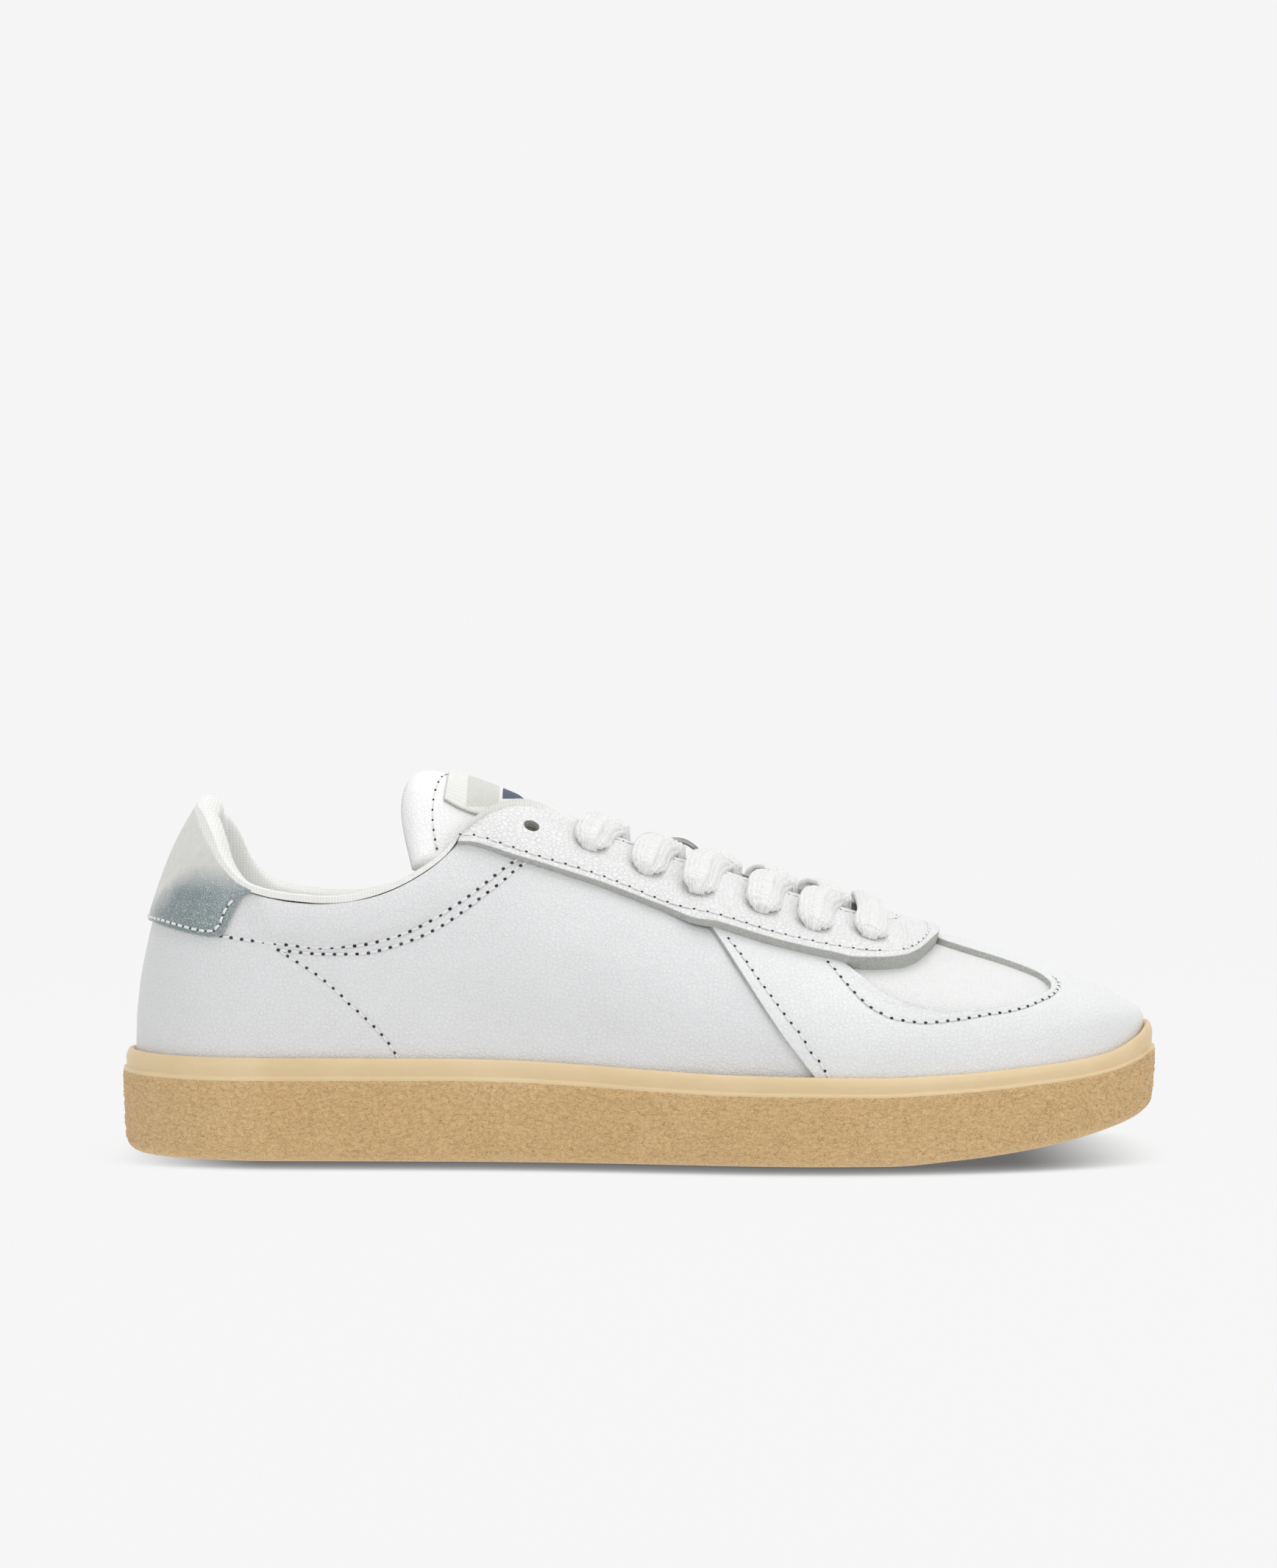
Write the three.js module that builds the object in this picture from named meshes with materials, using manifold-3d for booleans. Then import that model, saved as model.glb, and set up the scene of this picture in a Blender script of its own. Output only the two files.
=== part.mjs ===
// Low-cut leather court shoe (right foot), laced, on a gum cup sole.
// Frame: millimetres, +X from heel to toe, -Y the outer (lateral) side, +Z up.
// The origin lies on the ground plane under the middle of the sole's length.
import * as THREE from 'three';
import { mergeVertices } from 'three/addons/utils/BufferGeometryUtils.js';
import Module from 'manifold-3d';

// ---------------------------------------------------------------- driving dimensions
const HEEL_X = -147;          // back of the upper
const TOE_X = 146.9;          // front of the upper
const HEEL_BLEND_X = -100;    // the heel curve starts here
const TOE_BLEND_X = 50;       // the toe curve starts here on the lateral side
const TOE_BLEND_MEDIAL_X = 75;
const LEATHER = 1.2;          // thickness of quarters, toe panel, toe overlay, heel tab
const STAY_LEATHER = 1.9;     // lace stay, thicker raw-edged leather
const LAYER_GAP = 0.4;        // clearance kept between neighbouring layers
const LINING = 0.8;           // textile lining
const LINING_DEPTH = 3.5;     // lining's outer face, below the leather face
const LINING_SPLIT_X = -20;   // collar lining ends and vamp lining begins
const CUP_WALL = 2.7;         // side wall of the cup sole
const CUP_FLOOR = 5;          // floor of the cup sole above the tread contour
const STROBEL = 1.5;          // strobel board
const EYELET_R = 2.3;         // punched lace holes
const LINING_HOLE_R = EYELET_R + 0.7;
const LACE_HALF_THICK = 1.15; // flat lace
const FLAT_LACE = [3.9, LACE_HALF_THICK]; // half width, half thickness
const LACE_IN_HOLE = [1.6, 1.6];          // the same, squeezed inside a hole
const AGLET_R = 1.25;
const AGLET_LENGTH = 20;
const TONGUE_DEPTH = 8.4;     // tongue's face, below the leather face
const TONGUE_LAYERS = { leather: 1.1, foamTop: 2.6, liningTop: 7.6 }; // foamTop, liningTop: depths
const PAD_DEPTH = 2.5;        // padding's outer face, below the leather face
const PAD_THIN = 0.7;         // collar padding at its front
const PAD_SWELL = 5;          // what it gains towards the heel
const TUCK = 0.055;           // share of the half width lost at the upper's lower edge
const TUCK_POWER = 2.5;

// ---------------------------------------------------------------- small helpers
const clamp = (value, low, high) => Math.min(Math.max(value, low), high);
const lerp = (a, b, t) => a + (b - a) * t;
const smooth = (from, to, x) => {
  const t = clamp((x - from) / (to - from), 0, 1);
  return t * t * (3 - 2 * t);
};

// Monotone cubic through [position, value] points, constant beyond its ends.
class Table {
  constructor(...points) {
    this.keys = points.map(point => point[0]);
    this.values = points.map(point => point[1]);
    const last = points.length - 1, gaps = [], rates = [];
    for (let i = 0; i < last; i++) {
      gaps.push(this.keys[i + 1] - this.keys[i]);
      rates.push((this.values[i + 1] - this.values[i]) / gaps[i]);
    }
    this.slopes = new Array(last + 1).fill(0);
    this.slopes[0] = rates[0];
    this.slopes[last] = rates[last - 1];
    for (let i = 1; i < last; i++) {
      if (rates[i - 1] * rates[i] <= 0) continue;
      const before = 2 * gaps[i] + gaps[i - 1], after = gaps[i] + 2 * gaps[i - 1];
      this.slopes[i] = (before + after) / (before / rates[i - 1] + after / rates[i]);
    }
  }

  at(position) {
    const { keys, values, slopes } = this, count = keys.length;
    const x = clamp(position, keys[0], keys[count - 1]);
    let i = 0;
    while (i < count - 2 && x >= keys[i + 1]) i++;
    const gap = keys[i + 1] - keys[i], t = (x - keys[i]) / gap;
    return (1 + 2 * t) * (1 - t) ** 2 * values[i] + t * (1 - t) ** 2 * gap * slopes[i]
      + t * t * (3 - 2 * t) * values[i + 1] + t * t * (t - 1) * gap * slopes[i + 1];
  }
}

// ---------------------------------------------------------------- tables along the shoe
// Columns: x, value. Half widths are taken before the heel and toe are rounded off.
const HALF_WIDTH_LATERAL = new Table([-150, 33.6], [-100, 34.6], [-75, 35.2], [-50, 36],
  [-25, 38.2], [0, 42], [25, 46], [50, 48.6], [70, 49], [150, 49]);
const HALF_WIDTH_MEDIAL = new Table([-150, 33.6], [-100, 33.4], [-75, 32], [-50, 31],
  [-25, 31.8], [0, 35], [25, 40.5], [50, 46], [70, 48.5], [85, 49], [150, 49]);
const CENTRE_Y = new Table([-150, 0], [20, 0], [60, 0.8], [100, 2.4], [150, 5]);
const RIDGE_Y = new Table([-150, 0], [-40, 0], [0, 2], [40, 6], [70, 10], [90, 13],
  [110, 13], [130, 10], [147, 5]);
const WIDEST_Z = new Table([-150, 46], [-100, 46], [-50, 44], [0, 38], [40, 33], [70, 31],
  [100, 31.5], [120, 33.5], [135, 36], [143, 38], [147, 39.5]);
const RIDGE_Z = new Table([-150, 128], [-110, 126], [-60, 110], [-47, 106], [-15, 93.6],
  [7, 85.6], [28, 77.6], [50, 71.2], [66, 66.9], [77, 64], [82.5, 62.5], [93.3, 59.4],
  [104, 56.3], [115, 53.1], [125.7, 49.8], [136.5, 46], [142, 43], [145, 41.2], [146.9, 39.4]);
const LOWER_EDGE_Z = new Table([-150, 14.5], [-80, 14.2], [0, 11], [50, 9.6], [80, 9.8],
  [100, 11.2], [120, 14], [135, 17.6], [147, 22]);
// Exponents that shape the cross-section above the widest level.
const WIDTH_POWER = new Table([-150, .92], [-60, .95], [-20, 1.08], [30, 1.2], [70, 1.15],
  [90, 1.05], [110, 1], [135, .97], [147, 1]);
const HEIGHT_POWER = new Table([-150, 1], [-40, 1], [30, 1.08], [70, 1.05], [90, .95],
  [110, .85], [135, .8], [147, .8]);
// Back of the heel. Columns: z, x.
const HEEL_BACK_X = new Table([0, -147.2], [33, -147], [38, -146.9], [46, -146.2],
  [51, -145.6], [56, -144.7], [61, -143.7], [66.5, -142.4], [71.6, -141], [77, -139.2],
  [82, -137.4], [87, -135.4], [92, -133], [97, -130.2], [100, -128.4], [104, -126],
  [130, -112]);
// Cup sole: top of the wall, tread contour, and gap from the upper's face to the inner wall.
const CUP_TOP_Z = new Table([-151, 30.5], [-140, 29.9], [-120, 29.6], [-57, 29.6], [-35, 29.2],
  [-14, 28.1], [6.6, 26.75], [27, 25.8], [47.5, 25.45], [68, 25.2], [88.5, 25.9],
  [109, 27.35], [132.5, 30], [145, 34.7], [149, 37.5], [152, 38.5]);
const TREAD_Z = new Table([-152, 0], [70, 0], [88, 1.2], [99, 2.2], [109, 3.4], [120, 5],
  [132, 7.4], [140, 9.2], [151, 12]);
const CUP_GAP = new Table([-150, .9], [-10, .7], [45, 2.2], [150, 2.2]);

// ---------------------------------------------------------------- the upper's reference surface
// Addressed by (x, girth): |girth| = 0 is the ridge, 1 the widest level, 2 the lower edge
// inside the cup; girth < 0 is the lateral side. "side" is -1 lateral or 1 medial, and
// "level" is 1 - |girth|.
const roundOff = (from, to, power, x) =>
  Math.sqrt(Math.max(0, 1 - clamp((x - from) / (to - from), 0, 1) ** power));

function halfWidth(x, side) {
  const heel = roundOff(HEEL_BLEND_X, HEEL_X, 2.2, x);
  return side < 0
    ? HALF_WIDTH_LATERAL.at(x) * heel * roundOff(TOE_BLEND_X, TOE_X, 2.2, x)
    : HALF_WIDTH_MEDIAL.at(x) * heel * roundOff(TOE_BLEND_MEDIAL_X, TOE_X, 2.4, x);
}

// Behind HEEL_BLEND_X the station is stretched to follow the back of the heel.
function surfacePoint(station, level, side) {
  const angle = clamp(level, 0, 1) * Math.PI / 2;
  const cosine = level >= 1 ? 0 : Math.cos(angle);
  const widestZ = WIDEST_Z.at(station), drop = clamp(-level, 0, 1);
  const z = level >= 0
    ? widestZ + (RIDGE_Z.at(station) - widestZ) * Math.sin(angle) ** HEIGHT_POWER.at(station)
    : widestZ - (widestZ - LOWER_EDGE_Z.at(station)) * drop;
  const spread = level >= 0
    ? cosine ** WIDTH_POWER.at(station)
    : 1 - TUCK * drop ** TUCK_POWER;
  const x = station < HEEL_BLEND_X
    ? HEEL_BLEND_X - (HEEL_BLEND_X - HEEL_BACK_X.at(z))
      * (HEEL_BLEND_X - station) / (HEEL_BLEND_X - HEEL_X)
    : station;
  const edgeY = CENTRE_Y.at(station) + side * halfWidth(station, side);
  return new THREE.Vector3(x, RIDGE_Y.at(station) * (1 - spread) + edgeY * spread, z);
}

function surfaceNormal(station, level, side) {
  if (station >= TOE_X - 1e-6) {
    return new THREE.Vector3(1, 0, level > -0.05 ? 0.25 : 0).normalize();
  }
  const atStation = x => surfacePoint(clamp(x, HEEL_X, TOE_X - 1e-3), level, side);
  const atLevel = value => surfacePoint(station, clamp(value, -1, 1), side);
  const along = atStation(station + .05).sub(atStation(station - .05));
  const up = atLevel(level + 1e-3).sub(atLevel(level - 1e-3));
  const normal = side < 0 ? along.cross(up) : up.cross(along);
  normal.normalize();
  if (station <= HEEL_X + 1e-6) { // both sides share one normal on the heel line
    normal.y = 0;
    normal.normalize();
  }
  return normal;
}

const sideOf = girth => girth > 0 ? 1 : -1;

function place(x, girth, offset = 0) {
  const side = sideOf(girth), level = 1 - Math.abs(girth);
  return surfacePoint(x, level, side).addScaledVector(surfaceNormal(x, level, side), offset);
}

// Plan position on the upper half of the surface -> [x, girth], forward of the heel curve.
function fromPlan(planX, planY) {
  const x = clamp(planX, HEEL_BLEND_X, TOE_X - 1e-4);
  const ridge = RIDGE_Y.at(x), side = planY < ridge ? -1 : 1;
  const edge = CENTRE_Y.at(x) + side * halfWidth(x, side);
  const spread = clamp((planY - ridge) / (edge - ridge), 0, 1);
  return [x, side * (1 - Math.acos(spread ** (1 / WIDTH_POWER.at(x))) / (Math.PI / 2))];
}

// Change of |girth| per millimetre across the surface.
function girthPerMm(x, girth) {
  const side = sideOf(girth);
  const high = Math.abs(girth) + .004, low = Math.max(Math.abs(girth) - .004, 1e-4);
  return (high - low) / place(x, side * high).distanceTo(place(x, side * low));
}

// ---------------------------------------------------------------- solids from grids
// A grid is a list of rows of [x, girth]. Equal keys become one vertex.
function gridKey(x, girth) {
  if (x <= HEEL_X + 1e-9) return 'H' + Math.abs(girth).toFixed(5);
  if (x >= TOE_X - 1e-9) return Math.abs(girth) <= 1 ? 'T' : 'T' + Math.abs(girth).toFixed(5);
  return x.toFixed(4) + ',' + girth.toFixed(5);
}

const splitQuad = (a, b, c, d) => [[a, b, c], [a, c, d]]
  .filter(([i, j, k]) => i !== j && j !== k && k !== i);

// Indexed geometry, turned inside out if its faces point inward.
function solidGeometry(points, index) {
  let volume = 0;
  for (let i = 0; i < index.length; i += 3) {
    const [a, b, c] = index.slice(i, i + 3).map(id => points[id]);
    volume += a.dot(new THREE.Vector3().crossVectors(b, c));
  }
  if (volume < 0) {
    for (let i = 0; i < index.length; i += 3) {
      [index[i + 1], index[i + 2]] = [index[i + 2], index[i + 1]];
    }
  }
  const positions = new Float32Array(points.flatMap(point => point.toArray()));
  const result = new THREE.BufferGeometry();
  result.setAttribute('position', new THREE.BufferAttribute(positions, 3));
  result.setIndex(index);
  return result;
}

// Joins two matching faces along their open edges.
function closeSolid(outer, inner, triangles) {
  const count = outer.length, index = [];
  const edgesOf = ([a, b, c]) => [[a, b], [b, c], [c, a]];
  const edgeKey = (from, to) => from * 100000 + to;
  const edges = new Set(triangles.flatMap(edgesOf).map(([from, to]) => edgeKey(from, to)));
  for (const triangle of triangles) {
    const [a, b, c] = triangle;
    index.push(a, b, c, count + c, count + b, count + a);
    for (const [from, to] of edgesOf(triangle)) {
      if (edges.has(edgeKey(to, from))) continue;
      index.push(to, from, count + from, to, count + from, count + to);
    }
  }
  return solidGeometry([...outer, ...inner], index);
}

// Solid between two offsets from the reference surface, each a function of (x, girth).
function shell(grids, outerOffset, innerOffset) {
  const ids = new Map(), outer = [], inner = [], triangles = [];
  const idOf = ([x, girth]) => {
    const key = gridKey(x, girth);
    if (!ids.has(key)) {
      ids.set(key, outer.length);
      outer.push(place(x, girth, outerOffset(x, girth)));
      inner.push(place(x, girth, innerOffset(x, girth)));
    }
    return ids.get(key);
  };
  for (const grid of grids) {
    const part = [];
    for (let i = 0; i + 1 < grid.length; i++) {
      for (let j = 0; j + 1 < grid[i].length; j++) {
        const corners = [grid[i][j], grid[i + 1][j], grid[i + 1][j + 1], grid[i][j + 1]];
        part.push(...splitQuad(...corners.map(idOf)));
      }
    }
    // faces outward, whichever way the rows run
    let vote = 0;
    for (const [a, b, c] of part) {
      const toB = outer[b].clone().sub(outer[a]), toC = outer[c].clone().sub(outer[a]);
      vote += toB.cross(toC).dot(outer[a].clone().sub(inner[a]));
    }
    triangles.push(...(vote < 0 ? part.map(([a, b, c]) => [a, c, b]) : part));
  }
  return closeSolid(outer, inner, triangles);
}

const evenShell = (grids, outer, thickness) =>
  shell(grids, () => outer, () => outer - thickness);

// [x, girth] at a fraction of a path's length.
function sampler(path) {
  const lengths = [0];
  for (let i = 1; i < path.length; i++) {
    lengths.push(lengths[i - 1] + place(...path[i]).distanceTo(place(...path[i - 1])));
  }
  return fraction => {
    const target = clamp(fraction, 0, 1) * lengths[lengths.length - 1];
    let i = 1;
    while (i < lengths.length - 1 && lengths[i] < target) i++;
    const t = (target - lengths[i - 1]) / Math.max(lengths[i] - lengths[i - 1], 1e-9);
    return [lerp(path[i - 1][0], path[i][0], t), lerp(path[i - 1][1], path[i][1], t)];
  };
}

function ruled(pathA, pathB, rows, columns) {
  const sampleA = sampler(pathA), sampleB = sampler(pathB), grid = [];
  for (let i = 0; i <= rows; i++) {
    const a = sampleA(i / rows), b = sampleB(i / rows), row = [];
    for (let j = 0; j <= columns; j++) {
      row.push([lerp(a[0], b[0], j / columns), lerp(a[1], b[1], j / columns)]);
    }
    grid.push(row);
  }
  return grid;
}

const flip = path => path.map(([x, girth]) => [x, -girth]);

// Lateral grid between two medial paths' mirror images, and its own mirror image.
function mirroredPair(low, top, rows, columns) {
  const lateral = ruled(flip(low), flip(top), rows, columns);
  return [lateral, lateral.map(row => flip(row))];
}

// Half of a piece that wraps the toe: columns climb from the lower edge |girth| = low to the
// widest level, leaning back by "lean", then run in to the inner edge.
function toeHalf(side, innerEdge, columns, { rear, lean, low, topRows }) {
  const SIDE_ROWS = 2;
  const sample = sampler(innerEdge), grid = [];
  for (let i = 0; i <= columns; i++) {
    const t = i / columns, atToe = i === columns;
    const baseX = atToe ? TOE_X : lerp(rear, TOE_X, Math.sin(t * Math.PI / 2));
    const widestX = atToe ? TOE_X : baseX - lean * (1 - t);
    const end = sample(t), row = [];
    for (let j = 0; j <= SIDE_ROWS; j++) {
      row.push([lerp(baseX, widestX, j / SIDE_ROWS), side * lerp(low, 1, j / SIDE_ROWS)]);
    }
    const from = place(widestX, side), to = place(...end), straight = smooth(.15, .6, t);
    for (let j = 1; j < topRows; j++) {
      const u = j / topRows, plan = fromPlan(lerp(from.x, to.x, u), lerp(from.y, to.y, u));
      row.push([lerp(lerp(widestX, end[0], u), plan[0], straight),
        lerp(lerp(side, end[1], u), plan[1], straight)]);
    }
    row.push(end);
    grid.push(row);
  }
  return grid;
}

const toeWrap = (innerEdges, columns, shape) =>
  [-1, 1].map((side, i) => toeHalf(side, innerEdges[i], columns[i], shape));

// ---------------------------------------------------------------- booleans
const wasm = await Module();
wasm.setup();

function toSolid(source) {
  const merged = mergeVertices(source, 1e-4);
  return new wasm.Manifold(new wasm.Mesh({
    numProp: 3,
    vertProperties: new Float32Array(merged.attributes.position.array),
    triVerts: new Uint32Array(merged.index.array),
  }));
}

function fromSolid(solid) {
  const mesh = solid.getMesh(), result = new THREE.BufferGeometry();
  const positions = new Float32Array(mesh.vertProperties);
  result.setAttribute('position', new THREE.BufferAttribute(positions, 3));
  result.setIndex([...mesh.triVerts]);
  return result;
}

function rod(radius, length, sides, centre, direction) {
  const result = new THREE.CylinderGeometry(radius, radius, length, sides);
  const up = new THREE.Vector3(0, 1, 0);
  result.applyQuaternion(new THREE.Quaternion().setFromUnitVectors(up, direction));
  result.translate(centre.x, centre.y, centre.z);
  result.deleteAttribute('normal');
  result.deleteAttribute('uv');
  return result;
}

function punch(source, holes, radius = EYELET_R) {
  const CUTTER_LENGTH = 14, CUTTER_SIDES = 8;
  let solid = toSolid(source);
  for (const [x, girth] of holes) {
    const centre = place(x, girth), direction = place(x, girth, 1).sub(centre).normalize();
    solid = solid.subtract(toSolid(rod(radius, CUTTER_LENGTH, CUTTER_SIDES, centre, direction)));
  }
  return fromSolid(solid);
}

// ---------------------------------------------------------------- materials and assembly
const MATERIALS = {
  leather: { color: 0xf2f2f0, roughness: .5 },
  stay: { color: 0xf2f2f0, roughness: .48 },
  heelTab: { color: 0xc9c4b4, roughness: .45 },
  stiffener: { color: 0xcfc9bd, roughness: .7 },
  reinforcement: { color: 0xd8cfbd, roughness: .8 },
  board: { color: 0xd8cfbd, roughness: .9 },
  foam: { color: 0xe9e6da, roughness: .9 },
  linerFoam: { color: 0xd9d4c6, roughness: .9 },
  lining: { color: 0xefeeea, roughness: .95 },
  label: { color: 0xb9bcb4, roughness: .7 },
  gum: { color: 0xdcb985, roughness: .7 },
  lace: { color: 0xf4f3ee, roughness: .9 },
  aglet: { color: 0xe8e8e4, roughness: .4 },
};
const SIDES = { lateral: -1, medial: 1 };
const shoe = new THREE.Group();

function add(name, shape, material) {
  shape.computeVertexNormals();
  const mesh = new THREE.Mesh(shape, new THREE.MeshStandardMaterial(MATERIALS[material]));
  mesh.name = name;
  shoe.add(mesh);
}

// ---------------------------------------------------------------- shared pattern lines
// Paths on the surface. Columns: x, girth.
const TOP_LINE = [[-147, .537], [-146.6, .55], [-139, .587], [-129.5, .646], [-124.8, .685],
  [-116.5, .734], [-111, .752], [-103.3, .762], [-97.6, .764], [-92.4, .763], [-87.2, .757],
  [-82, .745], [-76.8, .725], [-71.6, .698], [-66.4, .662], [-61.3, .616], [-56.2, .557],
  [-53.1, .505], [-50.8, .455], [-47.5, .40], [-43.5, .325], [-40, .27], [-36.5, .215],
  [-33, .18], [-28, .15]];
const topGirth = new Table(...TOP_LINE);
// Rear edge of the toe overlay. Columns: |girth|, x.
const overlayRear = new Table([.5, 19.5], [.534, 22.3], [.596, 25.9], [.678, 29.2],
  [.749, 32.5], [.815, 35.7], [.878, 38.9], [.939, 42.2], [1.033, 45.4], [1.191, 48.3],
  [1.275, 50.2], [2, 62]);
// Eyelets from the ankle forward. Columns: x, girth.
const EYELETS = {
  lateral: [[-31.5, -.315], [-14.5, -.30], [2, -.332], [18, -.342], [35, -.342],
    [51, -.37], [66.5, -.35]],
  medial: [[-31.5, .315], [-14.5, .30], [2, .33], [18, .335], [35, .31], [51, .27],
    [66.5, .2]],
};
// Lace stay's faces: it steps up over the toe overlay.
const stayInner = x => lerp(LAYER_GAP, LEATHER + 2 * LAYER_GAP + .25, smooth(8, 22, x));
const stayOuter = x => stayInner(x) + STAY_LEATHER;

// ---------------------------------------------------------------- quarters
// Leather sides, from the heel seam to under the toe overlay.
function quarterGrid(side) {
  const ROWS = 26, COLUMNS = 8, OVERLAP = 8;
  const seamX = HEEL_X + .003; // keeps the two quarters apart at the heel
  const low = [seamX, -146.2, -143, -137, -128, -117, -105, -90, -75, -60, -45, -30, -15,
    0, 15, 30, 45, 58, 70].map(x => [x, side * 2]);
  const collar = [-146.2, -143, -137, -128, -117, -105, -90, -75, -66, -58, -53, -50]
    .map(x => [x, side * (topGirth.at(x) + .004)]);
  const underStay = [[-42, .42], [-36, .43], [-25, .435], [-11, .435], [2, .44], [15, .445],
    [28, .45]].map(([x, girth]) => [x, side * girth]);
  const sampleLow = sampler(low);
  const sampleTop = sampler([[seamX, side * topGirth.at(seamX)], ...collar, ...underStay]);
  // rows blend the two edges; the front edge bends parallel to the overlay's rear edge
  const frontX = girth => overlayRear.at(girth) + OVERLAP;
  const grid = [];
  for (let i = 0; i <= ROWS; i++) {
    const [lowX] = sampleLow(i / ROWS), [topX, signedTop] = sampleTop(i / ROWS), row = [];
    const top = Math.abs(signedTop);
    for (let j = 0; j <= COLUMNS; j++) {
      const t = j / COLUMNS, girth = lerp(2, top, t);
      const bentX = frontX(girth) - (frontX(top) - topX) * smooth(1, top, girth);
      row.push([lerp(lerp(lowX, topX, t), bentX, smooth(.55, 1, i / ROWS)), side * girth]);
    }
    grid.push(row);
  }
  return grid;
}
for (const [name, side] of Object.entries(SIDES)) {
  add('quarter_' + name, evenShell([quarterGrid(side)], 0, LEATHER), 'leather');
}

// ---------------------------------------------------------------- toe box panel
// Leather seen inside the toe overlay's opening, ending at the throat.
const PANEL_OUTER = [[54, -.84], [62, -.87], [75, -.885], [90, -.88], [104, -.84],
  [114, -.75], [121, -.6], [123.5, -.42], [121.5, -.2], [116, -.06], [108, .04], [98, .09],
  [88, .15], [82, .28], [74, .42], [64, .52], [52, .57], [40, .6]];
const PANEL_INNER = [[35, -.45], [45, -.46], [55, -.45], [66, -.42], [72, -.36],
  [75.5, -.28], [77, -.16], [77.2, -.06], [76, .06], [73, .16], [67, .26], [58, .34],
  [47, .4], [35, .43]];
const PANEL_DEPTH = .35;
add('toe_box_panel', evenShell([ruled(PANEL_OUTER, PANEL_INNER, 30, 4)], -PANEL_DEPTH, LEATHER),
  'leather');

// ---------------------------------------------------------------- toe overlay
// Wraps the toe, with a rounded opening over the toe box.
const OPENING_LATERAL = [[20, -.5], [30, -.47], [45, -.47], [54, -.50], [55.8, -.523],
  [57.3, -.575], [59.6, -.63], [62.2, -.675], [65.2, -.715], [68.2, -.745], [71.9, -.77],
  [75.4, -.783], [79.9, -.794], [86.1, -.792], [92.5, -.772], [98.9, -.746], [105, -.716],
  [110.6, -.661], [115, -.593], [117.8, -.52], [118.6, -.42]];
const OPENING_MEDIAL = [[20, .5], [40, .42], [60, .34], [72, .24], [80, .1], [84, -.03],
  [88, -.12], [94, -.15], [101, -.17], [108, -.2], [113, -.25], [116.6, -.32],
  [118.6, -.42]];
// Extra thickness on the medial side of the toe.
const overlayBulge = (x, girth) => 1.1 * smooth(-.16, .02, girth) * (1 - smooth(.1, .55, girth))
  * smooth(80, 96, x) * (1 - smooth(118, 134, x));
add('toe_overlay', shell(
  toeWrap([OPENING_LATERAL, OPENING_MEDIAL], [18, 16],
    { rear: 62, lean: 18.5, low: 2, topRows: 5 }),
  (x, girth) => LAYER_GAP + LEATHER + overlayBulge(x, girth), () => LAYER_GAP), 'leather');

// ---------------------------------------------------------------- lace stay
// One U-shaped piece around the throat, with fourteen punched holes.
const THROAT = [[-20, -.135], [0, -.135], [30, -.15], [55, -.19], [64, -.2], [69, -.18],
  [71.8, -.14], [72.3, -.1], [71.8, -.06], [69, -.02], [64, 0], [55, .03], [30, .1],
  [0, .135], [-20, .135]];
const STAY_LOWER = [[-51.8, -.491], [-47.8, -.48], [-42.5, -.479], [-36.5, -.483],
  [-24.6, -.479], [-11, -.478], [2.2, -.494], [8.9, -.504], [15.5, -.524], [22.1, -.517],
  [29.1, -.521], [39, -.534], [48.3, -.542], [54.9, -.544], [58.9, -.55], [65.6, -.534],
  [72.5, -.506], [76.7, -.472], [80.4, -.412], [83.7, -.315], [86.2, -.22], [87.6, -.12],
  [87.8, -.04], [87, .06], [84.6, .17], [81.2, .27], [76.7, .36], [72.5, .41], [65.6, .46],
  [58.9, .49], [48, .51], [29, .51], [2, .494], [-24.6, .479], [-42.5, .479], [-51.8, .491]];
const stayTop = TOP_LINE.filter(([x]) => x >= -51);
const stayUpper = [...flip(stayTop), ...THROAT, ...stayTop.toReversed()];
add('eyestay', punch(shell([ruled(STAY_LOWER, stayUpper, 42, 2)], stayOuter, stayInner),
  [...EYELETS.lateral, ...EYELETS.medial]), 'stay');

// Reinforcement strips behind the eyelets.
function reinforcement(eyelets, side) {
  const edge = (rearScale, shift, frontShift) => [
    [-34.5, eyelets[0][1] * rearScale],
    ...eyelets.map(([x, girth]) => [x, girth + side * shift]),
    [72, eyelets[6][1] + side * frontShift],
  ];
  const grid = ruled(edge(1.24, .07, .02), edge(.83, -.09, -.07), 16, 2);
  return punch(shell([grid], x => stayInner(x) - .65, x => stayInner(x) - 1.4), eyelets);
}
for (const [name, side] of Object.entries(SIDES)) {
  add('eyelet_reinforcement_' + name, reinforcement(EYELETS[name], side), 'reinforcement');
}

// ---------------------------------------------------------------- heel tab and stiffeners
// Heel tab: around the back of the collar.
const TAB_LOWER = [[-147, .834], [-145, .834], [-141.4, .839], [-135.7, .847],
  [-129.2, .856], [-124.3, .86], [-120.1, .859], [-118.3, .83], [-117, .804],
  [-115.7, .779], [-114, .762], [-112, .756]];
const TAB_UPPER = [[-147, .535], [-145, .55], [-141, .57], [-135, .608], [-129.5, .644],
  [-124.8, .683], [-120, .713], [-116.5, .732], [-113, .744], [-111.3, .75]];
add('heel_tab', evenShell(mirroredPair(TAB_LOWER, TAB_UPPER, 14, 4), LAYER_GAP + LEATHER,
  LEATHER), 'heelTab');

// Heel counter: stiffener between the quarter and the lining.
const COUNTER_LOWER = [-147, -146, -142, -134, -122, -108, -94, -82, -72].map(x => [x, 1.93]);
const COUNTER_UPPER = [[-147, .90], [-146, .90], [-142, .90], [-134, .90], [-125, .905],
  [-117, .92], [-109, .95], [-103, .99], [-98, 1.03]];
const COUNTER = { depth: 2.1, thickness: .8 };
add('heel_counter', evenShell(mirroredPair(COUNTER_LOWER, COUNTER_UPPER, 13, 4),
  -COUNTER.depth, COUNTER.thickness), 'stiffener');

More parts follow.
